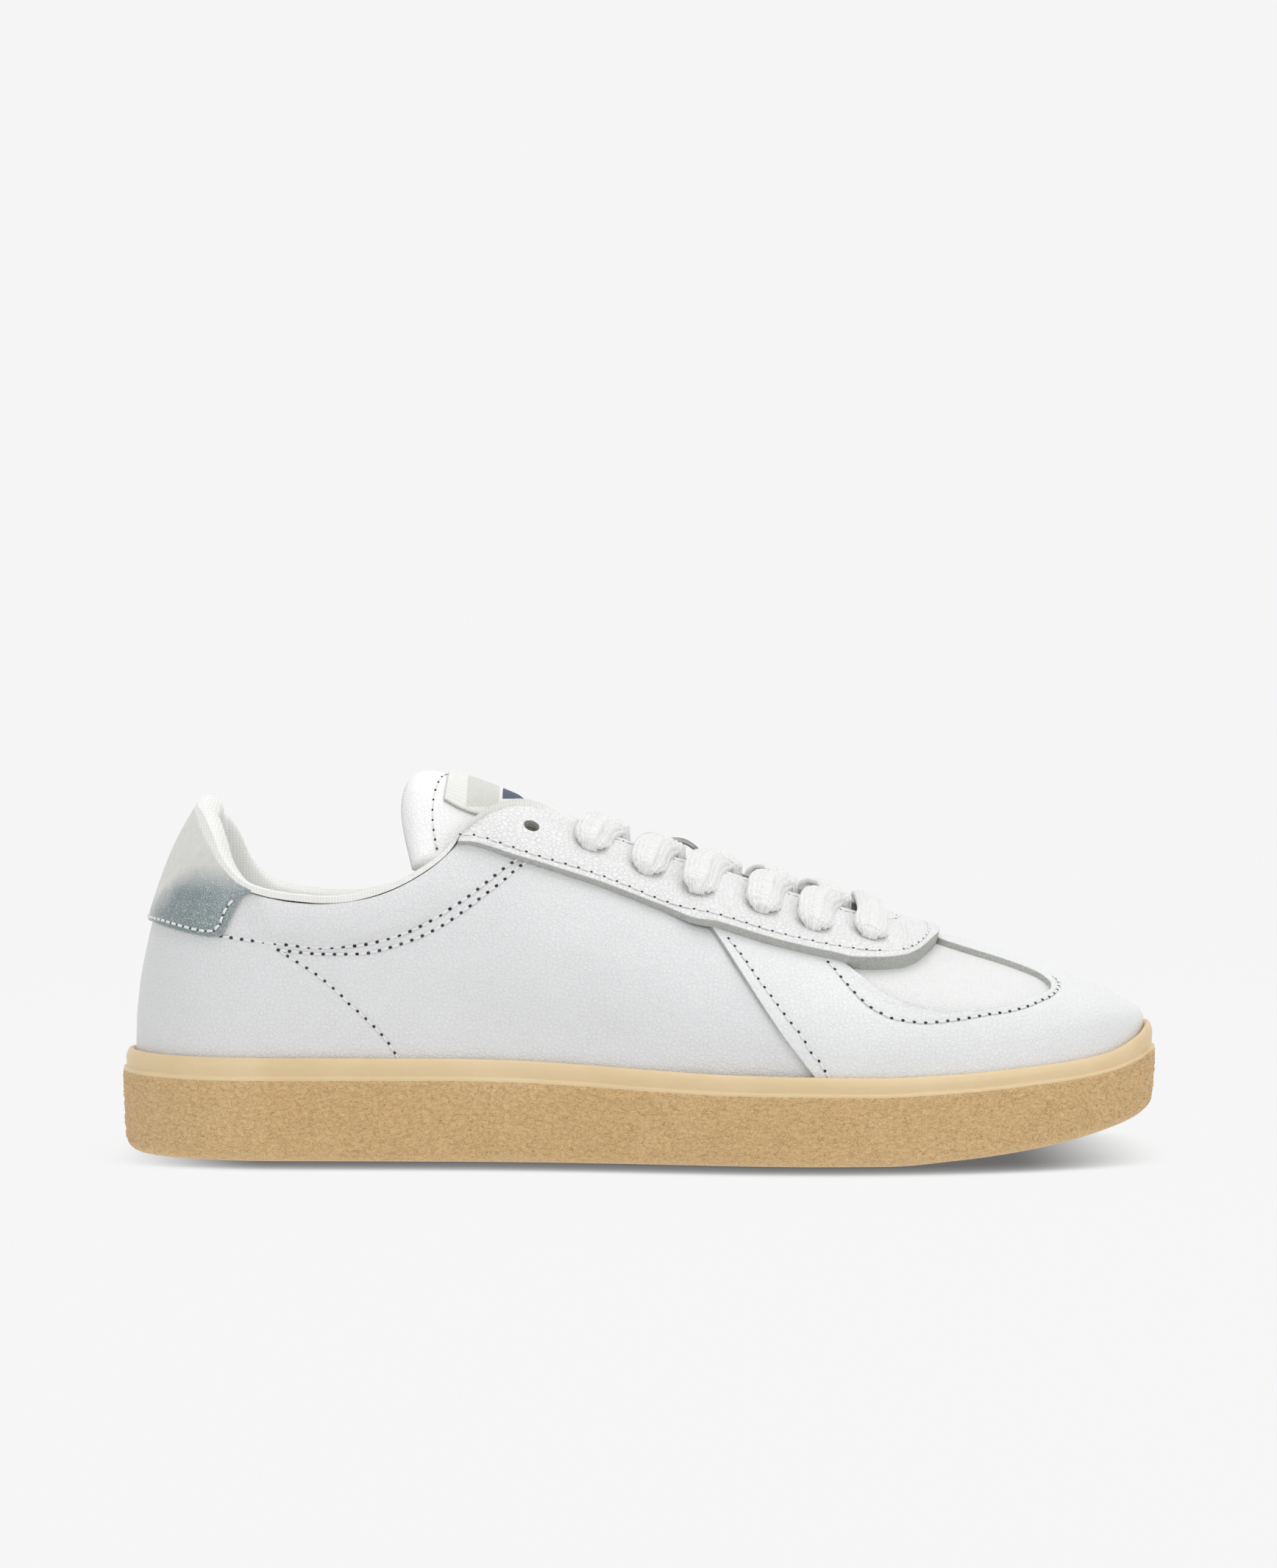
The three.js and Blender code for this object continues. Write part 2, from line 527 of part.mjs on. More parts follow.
// Toe puff: stiffener inside the toe.
const PUFF = { rear: 101, depth: 2.3, thickness: .7 };
const puffEdges = [-1, 1].map(side => [.92, .7, .4, .15, 0].map(girth => [PUFF.rear, side * girth]));
add('toe_puff', evenShell(
  toeWrap(puffEdges, [8, 8], { rear: PUFF.rear, lean: 0, low: 1.9, topRows: 3 }),
  -PUFF.depth, PUFF.thickness), 'stiffener');

// ---------------------------------------------------------------- collar padding
// A horseshoe around the ankle opening.
const PAD_STATIONS = [-147, -145.8, -142.5, -137.5, -130, -121, -110, -98, -85, -74, -65,
  -58, -53, -49.5];
const padLower = new Table([-147, .85], [-120.4, .858], [-109.3, .866], [-94.3, .874],
  [-84.1, .867], [-74.5, .848], [-65.2, .806], [-59.2, .768], [-53.4, .722], [-48.2, .67]);
const PAD_BELOW_TOP = 1.6; // from the leather's top edge, across the surface

function padUpper(x, side) {
  const top = topGirth.at(x);
  return top + PAD_BELOW_TOP * girthPerMm(x, side * top);
}

function padGrid(side) {
  const ROWS = 5;
  return PAD_STATIONS.map(x => {
    const low = padLower.at(x), high = padUpper(x, side), row = [];
    for (let j = 0; j <= ROWS; j++) row.push([x, side * lerp(low, high, j / ROWS)]);
    return row;
  });
}

function padThickness(x, girth) {
  const low = padLower.at(x);
  const t = clamp((low - Math.abs(girth)) / (low - topGirth.at(x)), 0, 1);
  const fullness = .22 + .78 * Math.sin(Math.PI * (.08 + .84 * t)) ** .6;
  return (PAD_SWELL * smooth(-48, -72, x) + PAD_THIN) * fullness;
}
add('collar_foam', shell([padGrid(-1), padGrid(1)], () => -PAD_DEPTH,
  (x, girth) => -PAD_DEPTH - padThickness(x, girth)), 'foam');

// ---------------------------------------------------------------- collar lining
// Covers the inside of the quarters and rolls over the padding to the leather's top edge.
// Profile columns: |girth| and depth of the outer face, then of the inner face.
function liningProfile(x, side) {
  const top = topGirth.at(x), perMm = girthPerMm(x, side * top);
  const depthAt = girth =>
    Math.max(LINING_DEPTH, x < -44 ? PAD_DEPTH + padThickness(x, girth) + .5 : 0);
  const profile = [2, 1.5, 1.15, .95]
    .map(girth => [girth, LINING_DEPTH, girth, LINING_DEPTH + LINING]);
  for (let j = 0; j <= 3; j++) {
    const t = (j + .35) / 3.35;
    const girth = lerp(Math.min(padLower.at(x), .93), padUpper(x, side), t);
    const depth = depthAt(girth);
    profile.push([girth, depth, girth, depth + LINING]);
  }
  const roll = smooth(-38, -50, x), topDepth = depthAt(top);
  const firstDepth = lerp(LINING_DEPTH, topDepth, .95);
  const secondDepth = Math.max(topDepth * .72, LINING_DEPTH);
  // Fully rolled edge: mm below the top edge and depth, for the outer then the inner face.
  const rolled = [
    [.2, firstDepth, -.6, firstDepth + LINING],
    [-.05, secondDepth, -1.7, secondDepth + .35],
    [-.25, 1.8, -2, 1.9],
    [-.35, .35, -1.6, .25],
  ];
  for (const [outerMm, outerDepth, innerMm, innerDepth] of rolled) {
    profile.push([
      top + perMm * lerp(1, outerMm, roll), lerp(LINING_DEPTH, outerDepth, roll),
      top + perMm * lerp(.6, innerMm, roll), lerp(LINING_DEPTH + LINING, innerDepth, roll),
    ]);
  }
  return profile;
}

function collarLining() {
  const xs = [...PAD_STATIONS, -46, -42, -38, -34, -28, LINING_SPLIT_X];
  const outer = [], inner = [], triangles = [];
  const addColumn = (x, side) => liningProfile(x, side).map(row => {
    outer.push(place(x, side * row[0], -row[1]));
    inner.push(place(x, side * row[2], -row[3]));
    return outer.length - 1;
  });
  const heelColumn = addColumn(xs[0], -1); // shared by both sides
  for (const side of [-1, 1]) {
    const columns = [heelColumn, ...xs.slice(1).map(x => addColumn(x, side))];
    for (let i = 0; i + 1 < xs.length; i++) {
      for (let j = 0; j + 1 < heelColumn.length; j++) {
        const a = columns[i][j], b = columns[i + 1][j];
        const c = columns[i + 1][j + 1], d = columns[i][j + 1];
        triangles.push(...(side < 0 ? splitQuad(a, b, c, d) : splitQuad(a, d, c, b)));
      }
    }
  }
  return punch(closeSolid(outer, inner, triangles),
    [EYELETS.lateral[0], EYELETS.medial[0]], LINING_HOLE_R);
}
add('collar_lining', collarLining(), 'lining');

// ---------------------------------------------------------------- vamp lining
// The inside of the forefoot.
const VAMP_REAR_X = LINING_SPLIT_X + .5;
const VAMP_INNER = [
  [[VAMP_REAR_X, -.175], [0, -.17], [30, -.19], [55, -.23], [64, -.24], [71, -.22],
    [75, -.16], [76, -.1]],
  [[VAMP_REAR_X, .175], [0, .17], [30, .14], [55, .07], [64, .04], [71, .02], [75, -.04],
    [76, -.1]],
];
add('vamp_lining', punch(
  evenShell(toeWrap(VAMP_INNER, [14, 14], { rear: VAMP_REAR_X, lean: 0, low: 2, topRows: 3 }),
    -LINING_DEPTH, LINING),
  [...EYELETS.lateral.slice(1), ...EYELETS.medial.slice(1)], LINING_HOLE_R), 'lining');

// ---------------------------------------------------------------- tongue
// Leather face, padding and lining, with a label. Its rear end rises in a crown.
const throatCentre = x => -.1 * smooth(20, 70, x);
const tongueHalfGirth = new Table([-68, .53], [-64, .57], [-56, .56], [-50, .48], [-44, .43],
  [-30, .41], [0, .38], [40, .31], [64, .19], [75, .13]);

function tongueFace(x, girth) {
  const crown = lerp(.2, .46, smooth(-34, -52, x));
  const depth = TONGUE_DEPTH - 2 * smooth(-44, -56, x);
  const fromCentre = Math.abs(girth - throatCentre(x));
  return -depth + (depth + .5) * smooth(-32, -52, x)
    * (1 - smooth(crown * .2, crown, fromCentre));
}

function tongueGrid(rearX, frontX, inset) {
  const ROWS = 12, COLUMNS = 8, grid = [];
  for (let i = 0; i <= ROWS; i++) {
    const row = [];
    for (let j = 0; j <= COLUMNS; j++) {
      const q = lerp(-1, 1, j / COLUMNS), reach = Math.abs(q);
      const edgeX = rearX - 3.5 * Math.sin(Math.PI * reach) + 2.5 * reach ** 4;
      const x = lerp(edgeX, frontX, i / ROWS);
      row.push([x, throatCentre(x) + q * (tongueHalfGirth.at(x) - inset)]);
    }
    grid.push(row);
  }
  return grid;
}
// Part of the tongue between two depths below its face.
const tongueLayer = (grid, top, bottomAt) => shell([grid],
  (x, girth) => tongueFace(x, girth) - top, (x, girth) => tongueFace(x, girth) - bottomAt(x));
const tongueOutline = tongueGrid(-63, 70, 0);
const { leather: tongueLeather, foamTop, liningTop } = TONGUE_LAYERS;
add('tongue_outer', tongueLayer(tongueOutline, 0, () => tongueLeather), 'leather');
add('tongue_foam', tongueLayer(tongueGrid(-60.5, 66, .035), foamTop,
  x => foamTop + .6 + 3.2 * smooth(70, 40, x)), 'foam');
add('tongue_lining', tongueLayer(tongueOutline, liningTop, () => liningTop + LINING), 'lining');
const LABEL_EDGE = [[-58, .13], [-52, .13], [-46, .125], [-40, .12]];
add('tongue_label', tongueLayer(ruled(flip(LABEL_EDGE), LABEL_EDGE, 4, 4), -1.7, () => -1),
  'label');

// ---------------------------------------------------------------- sole pieces
// Built from stations around the plan outline, closer together at heel and toe.
const STATION_POWER = .909;
const stations = [];
for (let i = 0; i < 8; i++) {
  stations.push(lerp(HEEL_BLEND_X, HEEL_X, Math.cos(i / 8 * Math.PI / 2) ** STATION_POWER));
}
stations.push(-100, -80, -60, -40, -20, 0, 20, 40);
for (let i = 0; i <= 10; i++) {
  stations.push(lerp(TOE_BLEND_X, TOE_X, Math.sin(i / 10 * Math.PI / 2) ** STATION_POWER));
}
const lastStation = stations.length - 1;
// Level of the cup's top edge on the reference surface.
const cupTopLevel = x =>
  -(WIDEST_Z.at(x) - CUP_TOP_Z.at(x)) / (WIDEST_Z.at(x) - LOWER_EDGE_Z.at(x));

function planNormal(i, side) {
  if (i === 0) return new THREE.Vector2(-1, 0);
  if (i === lastStation) return new THREE.Vector2(1, 0);
  const x = stations[i], level = cupTopLevel(x);
  const ahead = surfacePoint(Math.min(x + .4, TOE_X), level, side);
  const along = ahead.sub(surfacePoint(Math.max(x - .4, HEEL_X), level, side));
  return new THREE.Vector2(-side * along.y, side * along.x).normalize();
}

// profile(x): list of [offset, z(x)] from the underside's rim round to the top face's rim.
function ringSolid(profile) {
  const topRow = profile(0).length - 1;
  const ids = new Map(), points = [], index = [];
  const remember = (key, makePoint) => {
    if (!ids.has(key)) {
      const point = makePoint();
      ids.set(key, points.length);
      points.push(point);
    }
    return ids.get(key);
  };
  const isEnd = i => i === 0 || i === lastStation; // both sides meet in one point
  const rim = (i, side, row) => remember([i, isEnd(i) ? 'end' : side, row].join(), () => {
    const x = stations[i], centre = surfacePoint(x, cupTopLevel(x), side);
    const normal = planNormal(i, side), [offset, heightAt] = profile(x)[row];
    const px = centre.x + normal.x * offset;
    return new THREE.Vector3(px, centre.y + normal.y * offset, heightAt(px));
  });
  const middle = (i, row) => remember([i, isEnd(i) ? 'end' : 'middle', row].join(), () => {
    const point = points[rim(i, -1, row)].clone().lerp(points[rim(i, 1, row)], .5);
    point.z = profile(stations[i])[row][1](point.x);
    return point;
  });
  const across = (i, row) => [rim(i, -1, row), middle(i, row), rim(i, 1, row)];
  const quad = (...corners) => index.push(...splitQuad(...corners).flat());
  for (let i = 0; i < lastStation; i++) {
    for (let row = 0; row < topRow; row++) {
      const next = row + 1;
      quad(rim(i, -1, row), rim(i + 1, -1, row), rim(i + 1, -1, next), rim(i, -1, next));
      quad(rim(i, 1, row), rim(i, 1, next), rim(i + 1, 1, next), rim(i + 1, 1, row));
    }
    const under = across(i, 0), underNext = across(i + 1, 0);
    const top = across(i, topRow), topNext = across(i + 1, topRow);
    for (let j = 0; j < 2; j++) {
      quad(under[j], under[j + 1], underNext[j + 1], underNext[j]);
      quad(top[j], topNext[j], topNext[j + 1], top[j + 1]);
    }
  }
  return solidGeometry(points, index);
}

const floorZ = x => TREAD_Z.at(x) + CUP_FLOOR;

// Outsole: one moulded rubber cup, with a smooth upper band above a ledge.
function outsoleProfile(station) {
  const inner = CUP_GAP.at(station), outer = inner + CUP_WALL;
  const ledgeZ = x => CUP_TOP_Z.at(x) - 5.6;
  return [
    [outer - 6, x => TREAD_Z.at(x)],
    [outer - 1.8, x => TREAD_Z.at(x) + .8],
    [outer - .3, x => TREAD_Z.at(x) + 4],
    [outer, ledgeZ],
    [outer - .9, x => ledgeZ(x) + .5],
    [outer - 1.1, x => CUP_TOP_Z.at(x) - .9],
    [outer - 1.6, x => CUP_TOP_Z.at(x)],
    [inner, x => CUP_TOP_Z.at(x) - .4],
    [inner, x => floorZ(x) + .6],
    [inner - .6, floorZ],
  ];
}
add('outsole', ringSolid(outsoleProfile), 'gum');

// Midsole filler: foam wedge under the foot, inside the cup.
function fillerProfile(station) {
  const gap = CUP_GAP.at(station);
  const bottomZ = x => floorZ(x) + .35;
  const topZ = x => LOWER_EDGE_Z.at(x) - .9;
  return [[gap - 1.6, bottomZ], [gap - 1, x => lerp(bottomZ(x), topZ(x), .5)], [gap - 1.6, topZ]];
}
add('midsole_filler', ringSolid(fillerProfile), 'foam');

// Flat layers under the foot, inset from the upper's face.
function flatLayer(inset, bottomZ, thicknessAt) {
  return ringSolid(station => {
    const tuck = TUCK * halfWidth(station, -1)
      * (1 - Math.abs(cupTopLevel(station)) ** TUCK_POWER);
    const offset = -tuck - inset;
    return [[offset, bottomZ], [offset, x => bottomZ(x) + thicknessAt(x)]];
  });
}
const STROBEL_INSET = 5, LINER_INSET = 5.4, LINER_COVER = .8;
const linerThickness = new Table([-147, 4.6], [-60, 4.2], [20, 3.2], [147, 2.8]);
const strobelZ = x => LOWER_EDGE_Z.at(clamp(x, -142, 142)) + .1;
const linerZ = x => strobelZ(x) + STROBEL + .35;
add('strobel_board', flatLayer(STROBEL_INSET, strobelZ, () => STROBEL), 'board');
add('sockliner_foam', flatLayer(LINER_INSET, linerZ, x => linerThickness.at(x)), 'linerFoam');
add('sockliner_cover', flatLayer(LINER_INSET, x => linerZ(x) + linerThickness.at(x) + .3,
  () => LINER_COVER), 'lining');

// ---------------------------------------------------------------- shoelace and aglets
// Control columns: x, girth, offset from the surface, half width, half thickness.
function ribbon(controls) {
  const CORNERS = 6, last = controls.length - 1;
  const path = controls.map(([x, girth, offset]) => place(x, girth, offset));
  const curve = new THREE.CatmullRomCurve3(path, false, 'centripetal');
  // the ribbon's width lies along the shoe wherever it crosses it
  const lengthwise = new THREE.Vector3(1, 0, -.35).normalize();
  const points = [], index = [];
  controls.forEach(([, , , halfWide, halfThick], i) => {
    const centre = curve.getPoint(i / last), tangent = curve.getTangent(i / last);
    const wide = lengthwise.clone().addScaledVector(tangent, -lengthwise.dot(tangent)).normalize();
    const thick = new THREE.Vector3().crossVectors(tangent, wide).normalize();
    for (let j = 0; j < CORNERS; j++) {
      const angle = (j + .5) / CORNERS * Math.PI * 2, scale = 1 / Math.cos(Math.PI / CORNERS);
      points.push(centre.clone()
        .addScaledVector(wide, halfWide * Math.cos(angle) * scale)
        .addScaledVector(thick, halfThick * Math.sin(angle) * scale));
    }
  });
  const start = points.length, end = start + 1, endRing = last * CORNERS;
  points.push(curve.getPoint(0), curve.getPoint(1));
  for (let j = 0; j < CORNERS; j++) {
    const next = (j + 1) % CORNERS;
    for (let ring = 0; ring < endRing; ring += CORNERS) {
      const a = ring + j, b = ring + next;
      index.push(a, b, b + CORNERS, a, b + CORNERS, a + CORNERS);
    }
    index.push(start, next, j, end, endRing + j, endRing + next);
  }
  return solidGeometry(points, index);
}

const UNDER = -(LINING_DEPTH + LINING + 1 + LACE_HALF_THICK); // lace inside the lining
const laceHeight = x => stayOuter(x) + LACE_HALF_THICK + .4;

// Down into a hole, from a height above the stay.
const intoHole = (eyelet, height) => [stayOuter(eyelet[0]) + height, stayOuter(eyelet[0]) - 1.2,
  -1.2].map(offset => [...eyelet, offset, ...LACE_IN_HOLE]);

// One crossing: from under one hole, up through the throat, over the stay, into the next.
// A high strand passes over a low one at the throat.
function strand(from, to, high) {
  const side = sideOf(from[1]), centre = throatCentre((from[0] + to[0]) / 2);
  const height = laceHeight(to[0]);
  const along = t => lerp(from[0], to[0], t);
  return [
    [...from, UNDER + .5, ...LACE_IN_HOLE],
    [along(.02), lerp(from[1], centre, .13), UNDER - .1, 2, 1.1],
    [along(.08), lerp(from[1], centre, .42), UNDER - .1, ...FLAT_LACE],
    [along(.2), centre + side * .11, UNDER, FLAT_LACE[0] - .4, LACE_HALF_THICK],
    [along(high ? .33 : .37), centre + side * .035, high ? 2.3 : .3, 3.1, 1],
    [along(.5), centre - side * .005, height + (high ? 2.1 : -2.2), 3.1, 1],
    [along(.63), centre - side * .09, height + (high ? 1.2 : .3), ...FLAT_LACE],
    [along(.78), lerp(centre, to[1], .6), height + .3, ...FLAT_LACE],
    [along(.9), lerp(centre, to[1], .85), height + .2, ...FLAT_LACE],
    ...intoHole(to, 1),
  ];
}

// Tucked end. Columns: distance back, girth down the side, offset from UNDER, half sizes.
const TAIL = [[0, 0, .5, ...LACE_IN_HOLE], [.5, .05, -.1, 1.6, 1.1], [2, .13, -.2, 2.2, 1.1],
  [3.5, .24, -.4, 1.4, 1.05], [4, .28, -.4, 1, 1]];
const tail = ([x, girth]) => TAIL.map(([back, down, offset, ...halfSizes]) =>
  [x - back, girth + sideOf(girth) * down, UNDER + offset, ...halfSizes]);

// Five crossings from the front eyelet back, then the tucked end.
function laceRun(near, far, high) {
  const run = [];
  for (let i = 6; i > 1; i--) {
    run.push(...strand(near[i], far[i - 1], high));
    [near, far, high] = [far, near, !high];
  }
  return [...run, ...tail(near[1])];
}

// Both ends start at the straight bar across the front holes.
function shoelace() {
  const { lateral, medial } = EYELETS, barX = lateral[6][0];
  const centre = throatCentre(barX);
  const barPoint = girth => [barX, girth, laceHeight(barX) + .5, ...FLAT_LACE];
  const halfBar = eyelet => [...intoHole(eyelet, 1.3).reverse(),
    ...[.3, .65].map(t => barPoint(lerp(eyelet[1], centre, t)))];
  return ribbon([
    ...laceRun(lateral, medial, true).reverse(),
    ...halfBar(lateral[6]), barPoint(centre), ...halfBar(medial[6]).reverse(),
    ...laceRun(medial, lateral, false),
  ]);
}
add('shoelace', shoelace(), 'lace');

// Aglets continue the tucked ends down the inside of the shoe.
function aglet([x, girth]) {
  const side = sideOf(girth);
  const start = place(x - 4.1, girth + side * .295, UNDER - .5);
  const direction = place(x - 7, girth + side * .56, UNDER - 1).sub(start).normalize();
  const centre = start.addScaledVector(direction, AGLET_LENGTH / 2);
  return mergeVertices(rod(AGLET_R, AGLET_LENGTH, 10, centre, direction), 1e-4);
}
for (const name of Object.keys(SIDES)) add('aglet_' + name, aglet(EYELETS[name][1]), 'aglet');

export default shoe;
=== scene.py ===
"""A low leather shoe on a gum rubber cup sole, dressed over its CAD pieces.

The toe points along +x, the lateral side is -y, the medial side +y, and z is up. Lengths are
in millimetres until new_object turns them into metres. The upper is drawn on a reference
surface: x is the station, |w| is 0 at the ridge, 1 at the widest level and 2 at the lower
edge, and w < 0 is the lateral side. Depths run along the outward normal, so negative depths
lie inside. `side` is -1 for the lateral half and 1 for the medial half.
"""
import itertools
import math

import bmesh
import bpy
import numpy as np
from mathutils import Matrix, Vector, kdtree


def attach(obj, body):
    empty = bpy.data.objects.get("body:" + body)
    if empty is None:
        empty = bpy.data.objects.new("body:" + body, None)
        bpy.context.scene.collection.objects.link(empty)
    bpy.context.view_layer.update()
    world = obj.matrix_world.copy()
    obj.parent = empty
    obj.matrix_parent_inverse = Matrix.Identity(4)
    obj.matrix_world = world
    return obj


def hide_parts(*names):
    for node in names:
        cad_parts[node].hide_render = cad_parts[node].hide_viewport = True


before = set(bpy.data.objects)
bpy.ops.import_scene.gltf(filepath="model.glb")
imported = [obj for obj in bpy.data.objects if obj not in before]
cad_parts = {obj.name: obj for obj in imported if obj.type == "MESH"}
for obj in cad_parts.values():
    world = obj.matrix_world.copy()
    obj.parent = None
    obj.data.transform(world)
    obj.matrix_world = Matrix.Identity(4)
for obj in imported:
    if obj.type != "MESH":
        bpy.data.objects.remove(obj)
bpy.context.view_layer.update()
DENSITY = 1


def count(full):
    return max(6, int(full * DENSITY))


# ---- Curves ----
def ease(start, end, x):
    """Smooth step from 0 at start to 1 at end; start may be the larger."""
    t = np.clip((np.asarray(x, float) - start) / (end - start), 0, 1)
    return t * t * (3 - 2 * t)


def lerp(a, b, t):
    return a + (b - a) * t


def hermite(t, a, b, slope_a, slope_b):
    return ((1 + 2 * t) * (1 - t) ** 2 * a + t * (1 - t) ** 2 * slope_a
            + t * t * (3 - 2 * t) * b + t * t * (t - 1) * slope_b)


class Curve:
    """Monotone cubic through {x: value}, constant beyond its ends."""

    def __init__(self, table):
        self.x, self.y = np.array(list(table.items()), float).T
        step = np.diff(self.x)
        rise = np.diff(self.y) / step
        self.slope = np.zeros(len(self.x))
        self.slope[0], self.slope[-1] = rise[0], rise[-1]
        for i in range(1, len(step)):
            if rise[i - 1] * rise[i] > 0:
                a = 2 * step[i] + step[i - 1]
                b = step[i] + 2 * step[i - 1]
                self.slope[i] = (a + b) / (a / rise[i - 1] + b / rise[i])

    def __call__(self, x):
        x = np.clip(np.asarray(x, float), self.x[0], self.x[-1])
        i = np.clip(np.searchsorted(self.x, x, side="right") - 1, 0, len(self.x) - 2)
        step = self.x[i + 1] - self.x[i]
        return hermite((x - self.x[i]) / step, self.y[i], self.y[i + 1],
                       step * self.slope[i], step * self.slope[i + 1])


def centripetal(points, per):
    """Centripetal Catmull-Rom through the points, `per` samples to a segment."""
    p = np.vstack([2 * points[0] - points[1], points, 2 * points[-1] - points[-2]])
    t = np.linspace(0, 1, per, endpoint=False)[:, None]
    out = []
    for i in range(1, len(p) - 2):
        a, b, c, d = p[i - 1:i + 3]
        k, l, m = [max(np.linalg.norm(v - u), 1e-6) ** .5 for u, v in ((a, b), (b, c), (c, d))]
        slope_b = ((b - a) / k - (c - a) / (k + l) + (c - b) / l) * l
        slope_c = ((c - b) / l - (d - b) / (l + m) + (d - c) / m) * l
        out.append(hermite(t, b, c, slope_b, slope_c))
    return np.vstack(out + [p[-2:-1]])


def catmull(points, per):
    """Uniform Catmull-Rom through the points."""
    p = np.asarray(points, float)
    p = np.concatenate([[2 * p[0] - p[1]], p, [2 * p[-1] - p[-2]]])
    t = np.linspace(0, 1, per, endpoint=False)[:, None]
    out = [hermite(t, b, c, (c - a) / 2, (d - b) / 2)
           for a, b, c, d in zip(p, p[1:], p[2:], p[3:])]
    return np.vstack(out + [p[-2:-1]])


def arc_length(points):
    return np.concatenate([[0], np.cumsum(np.linalg.norm(np.diff(points, axis=0), axis=1))])


# ---- Reference surface ----
HEEL_X, TOE_X = -147.0, 146.9
HEEL_CAP_X = -100.0         # the heel's plan rounds off behind this station
LATERAL_CAP_X, MEDIAL_CAP_X = 50, 75    # the toe's plan rounds off ahead of these
TUCK, TUCK_POWER = .055, 2.5    # how far the lower edge draws in, as a share of the width
W_SCALE = 45                # rough millimetres to one unit of w

# Half widths, centre line and ridge line in plan, by x
LATERAL_WIDTH = Curve({
    -150: 33.6, -100: 34.6, -75: 35.2, -50: 36, -25: 38.2, 0: 42, 25: 46, 50: 48.6, 70: 49,
    150: 49})
MEDIAL_WIDTH = Curve({
    -150: 33.6, -100: 33.4, -75: 32, -50: 31, -25: 31.8, 0: 35, 25: 40.5, 50: 46, 70: 48.5,
    85: 49, 150: 49})
CENTRE_Y = Curve({-150: 0, 20: 0, 60: .8, 100: 2.4, 150: 5})
RIDGE_Y = Curve({-150: 0, -40: 0, 0: 2, 40: 6, 70: 10, 90: 13, 110: 13, 130: 10, 147: 5})
# Heights of the widest level, the ridge and the lower edge, by x
WIDEST_Z = Curve({
    -150: 46, -100: 46, -50: 44, 0: 38, 40: 33, 70: 31, 100: 31.5, 120: 33.5, 135: 36,
    143: 38, 147: 39.5})
RIDGE_Z = Curve({
    -150: 128, -110: 126, -60: 110.0, -47: 106.0, -15: 93.6, 7: 85.6, 28: 77.6, 50: 71.2,
    66: 66.9, 77: 64.0, 82.5: 62.5, 93.3: 59.4, 104: 56.3, 115: 53.1, 125.7: 49.8,
    136.5: 46.0, 142: 43.0, 145: 41.2, 146.9: 39.4})
LOWER_Z = Curve({-150: 14.5, -80: 14.2, 0: 11, 50: 9.6, 80: 9.8, 100: 11.2, 120: 14,
                 135: 17.6, 147: 22})
# x of the back of the heel, by z
HEEL_BACK_X = Curve({
    0: -147.2, 33: -147.0, 38: -146.9, 46: -146.2, 51: -145.6, 56: -144.7, 61: -143.7,
    66.5: -142.4, 71.6: -141, 77: -139.2, 82: -137.4, 87: -135.4, 92: -133, 97: -130.2,
    100: -128.4, 104: -126, 130: -112})
# Exponents that shape the cross section above the widest level, by x
WIDTH_POWER = Curve({-150: .92, -60: .95, -20: 1.08, 30: 1.2, 70: 1.15, 90: 1.05, 110: 1.0,
                     135: .97, 147: 1.0})
HEIGHT_POWER = Curve({-150: 1.0, -40: 1.0, 30: 1.08, 70: 1.05, 90: .95, 110: .85, 135: .8,
                      147: .8})


def half_width(x, side):
    def capped(width, front_x, power):
        back = np.clip((HEEL_CAP_X - x) / (HEEL_CAP_X - HEEL_X), 0, 1)
        front = np.clip((x - front_x) / (TOE_X - front_x), 0, 1)
        return width(x) * (np.sqrt(1 - back ** 2.2) * np.sqrt(1 - front ** power))
    return np.where(side < 0, capped(LATERAL_WIDTH, LATERAL_CAP_X, 2.2),
                    capped(MEDIAL_WIDTH, MEDIAL_CAP_X, 2.4))


def surface(x, v, side):
    """Reference points; v is 1 at the ridge, 0 at the widest level, -1 at the lower edge."""
    angle = np.clip(v, 0, 1) * math.pi / 2
    cos = np.cos(angle)
    cos = np.where(cos < 1e-9, 0, cos)
    widest = WIDEST_Z(x)
    below = np.clip(-v, 0, 1)
    z = np.where(v >= 0,
                 widest + (RIDGE_Z(x) - widest) * np.sin(angle) ** HEIGHT_POWER(x),
                 widest - (widest - LOWER_Z(x)) * below)
    spread = np.where(v >= 0, cos ** WIDTH_POWER(x), 1 - TUCK * below ** TUCK_POWER)
    back = HEEL_CAP_X - ((HEEL_CAP_X - HEEL_BACK_X(z)) * (HEEL_CAP_X - x)
                         / (HEEL_CAP_X - HEEL_X))
    y = RIDGE_Y(x) * (1 - spread) + (CENTRE_Y(x) + side * half_width(x, side)) * spread
    return np.stack([np.where(x < HEEL_CAP_X, back, x), y, z], -1)


def surface_normal(x, v, side):
    step = 1e-3
    along = (surface(np.clip(x + .05, HEEL_X, TOE_X - 1e-3), v, side)
             - surface(np.clip(x - .05, HEEL_X, TOE_X - 1e-3), v, side))
    up = surface(x, np.clip(v + step, -1, 1), side) - surface(x, np.clip(v - step, -1, 1), side)
    n = np.cross(along, up) * np.where(side < 0, 1, -1)[..., None]
    n /= np.maximum(np.linalg.norm(n, axis=-1, keepdims=True), 1e-12)
    n[x <= HEEL_X + 1e-6, 1] = 0
    tip = x >= TOE_X - 1e-6
    n[tip] = np.stack([np.ones(tip.sum()), np.zeros(tip.sum()),
                       np.where(v[tip] > -.05, .25, 0)], -1)
    return n / np.maximum(np.linalg.norm(n, axis=-1, keepdims=True), 1e-12)


def split_w(w):
    return np.where(w > 0, 1.0, -1.0), 1 - np.abs(w)


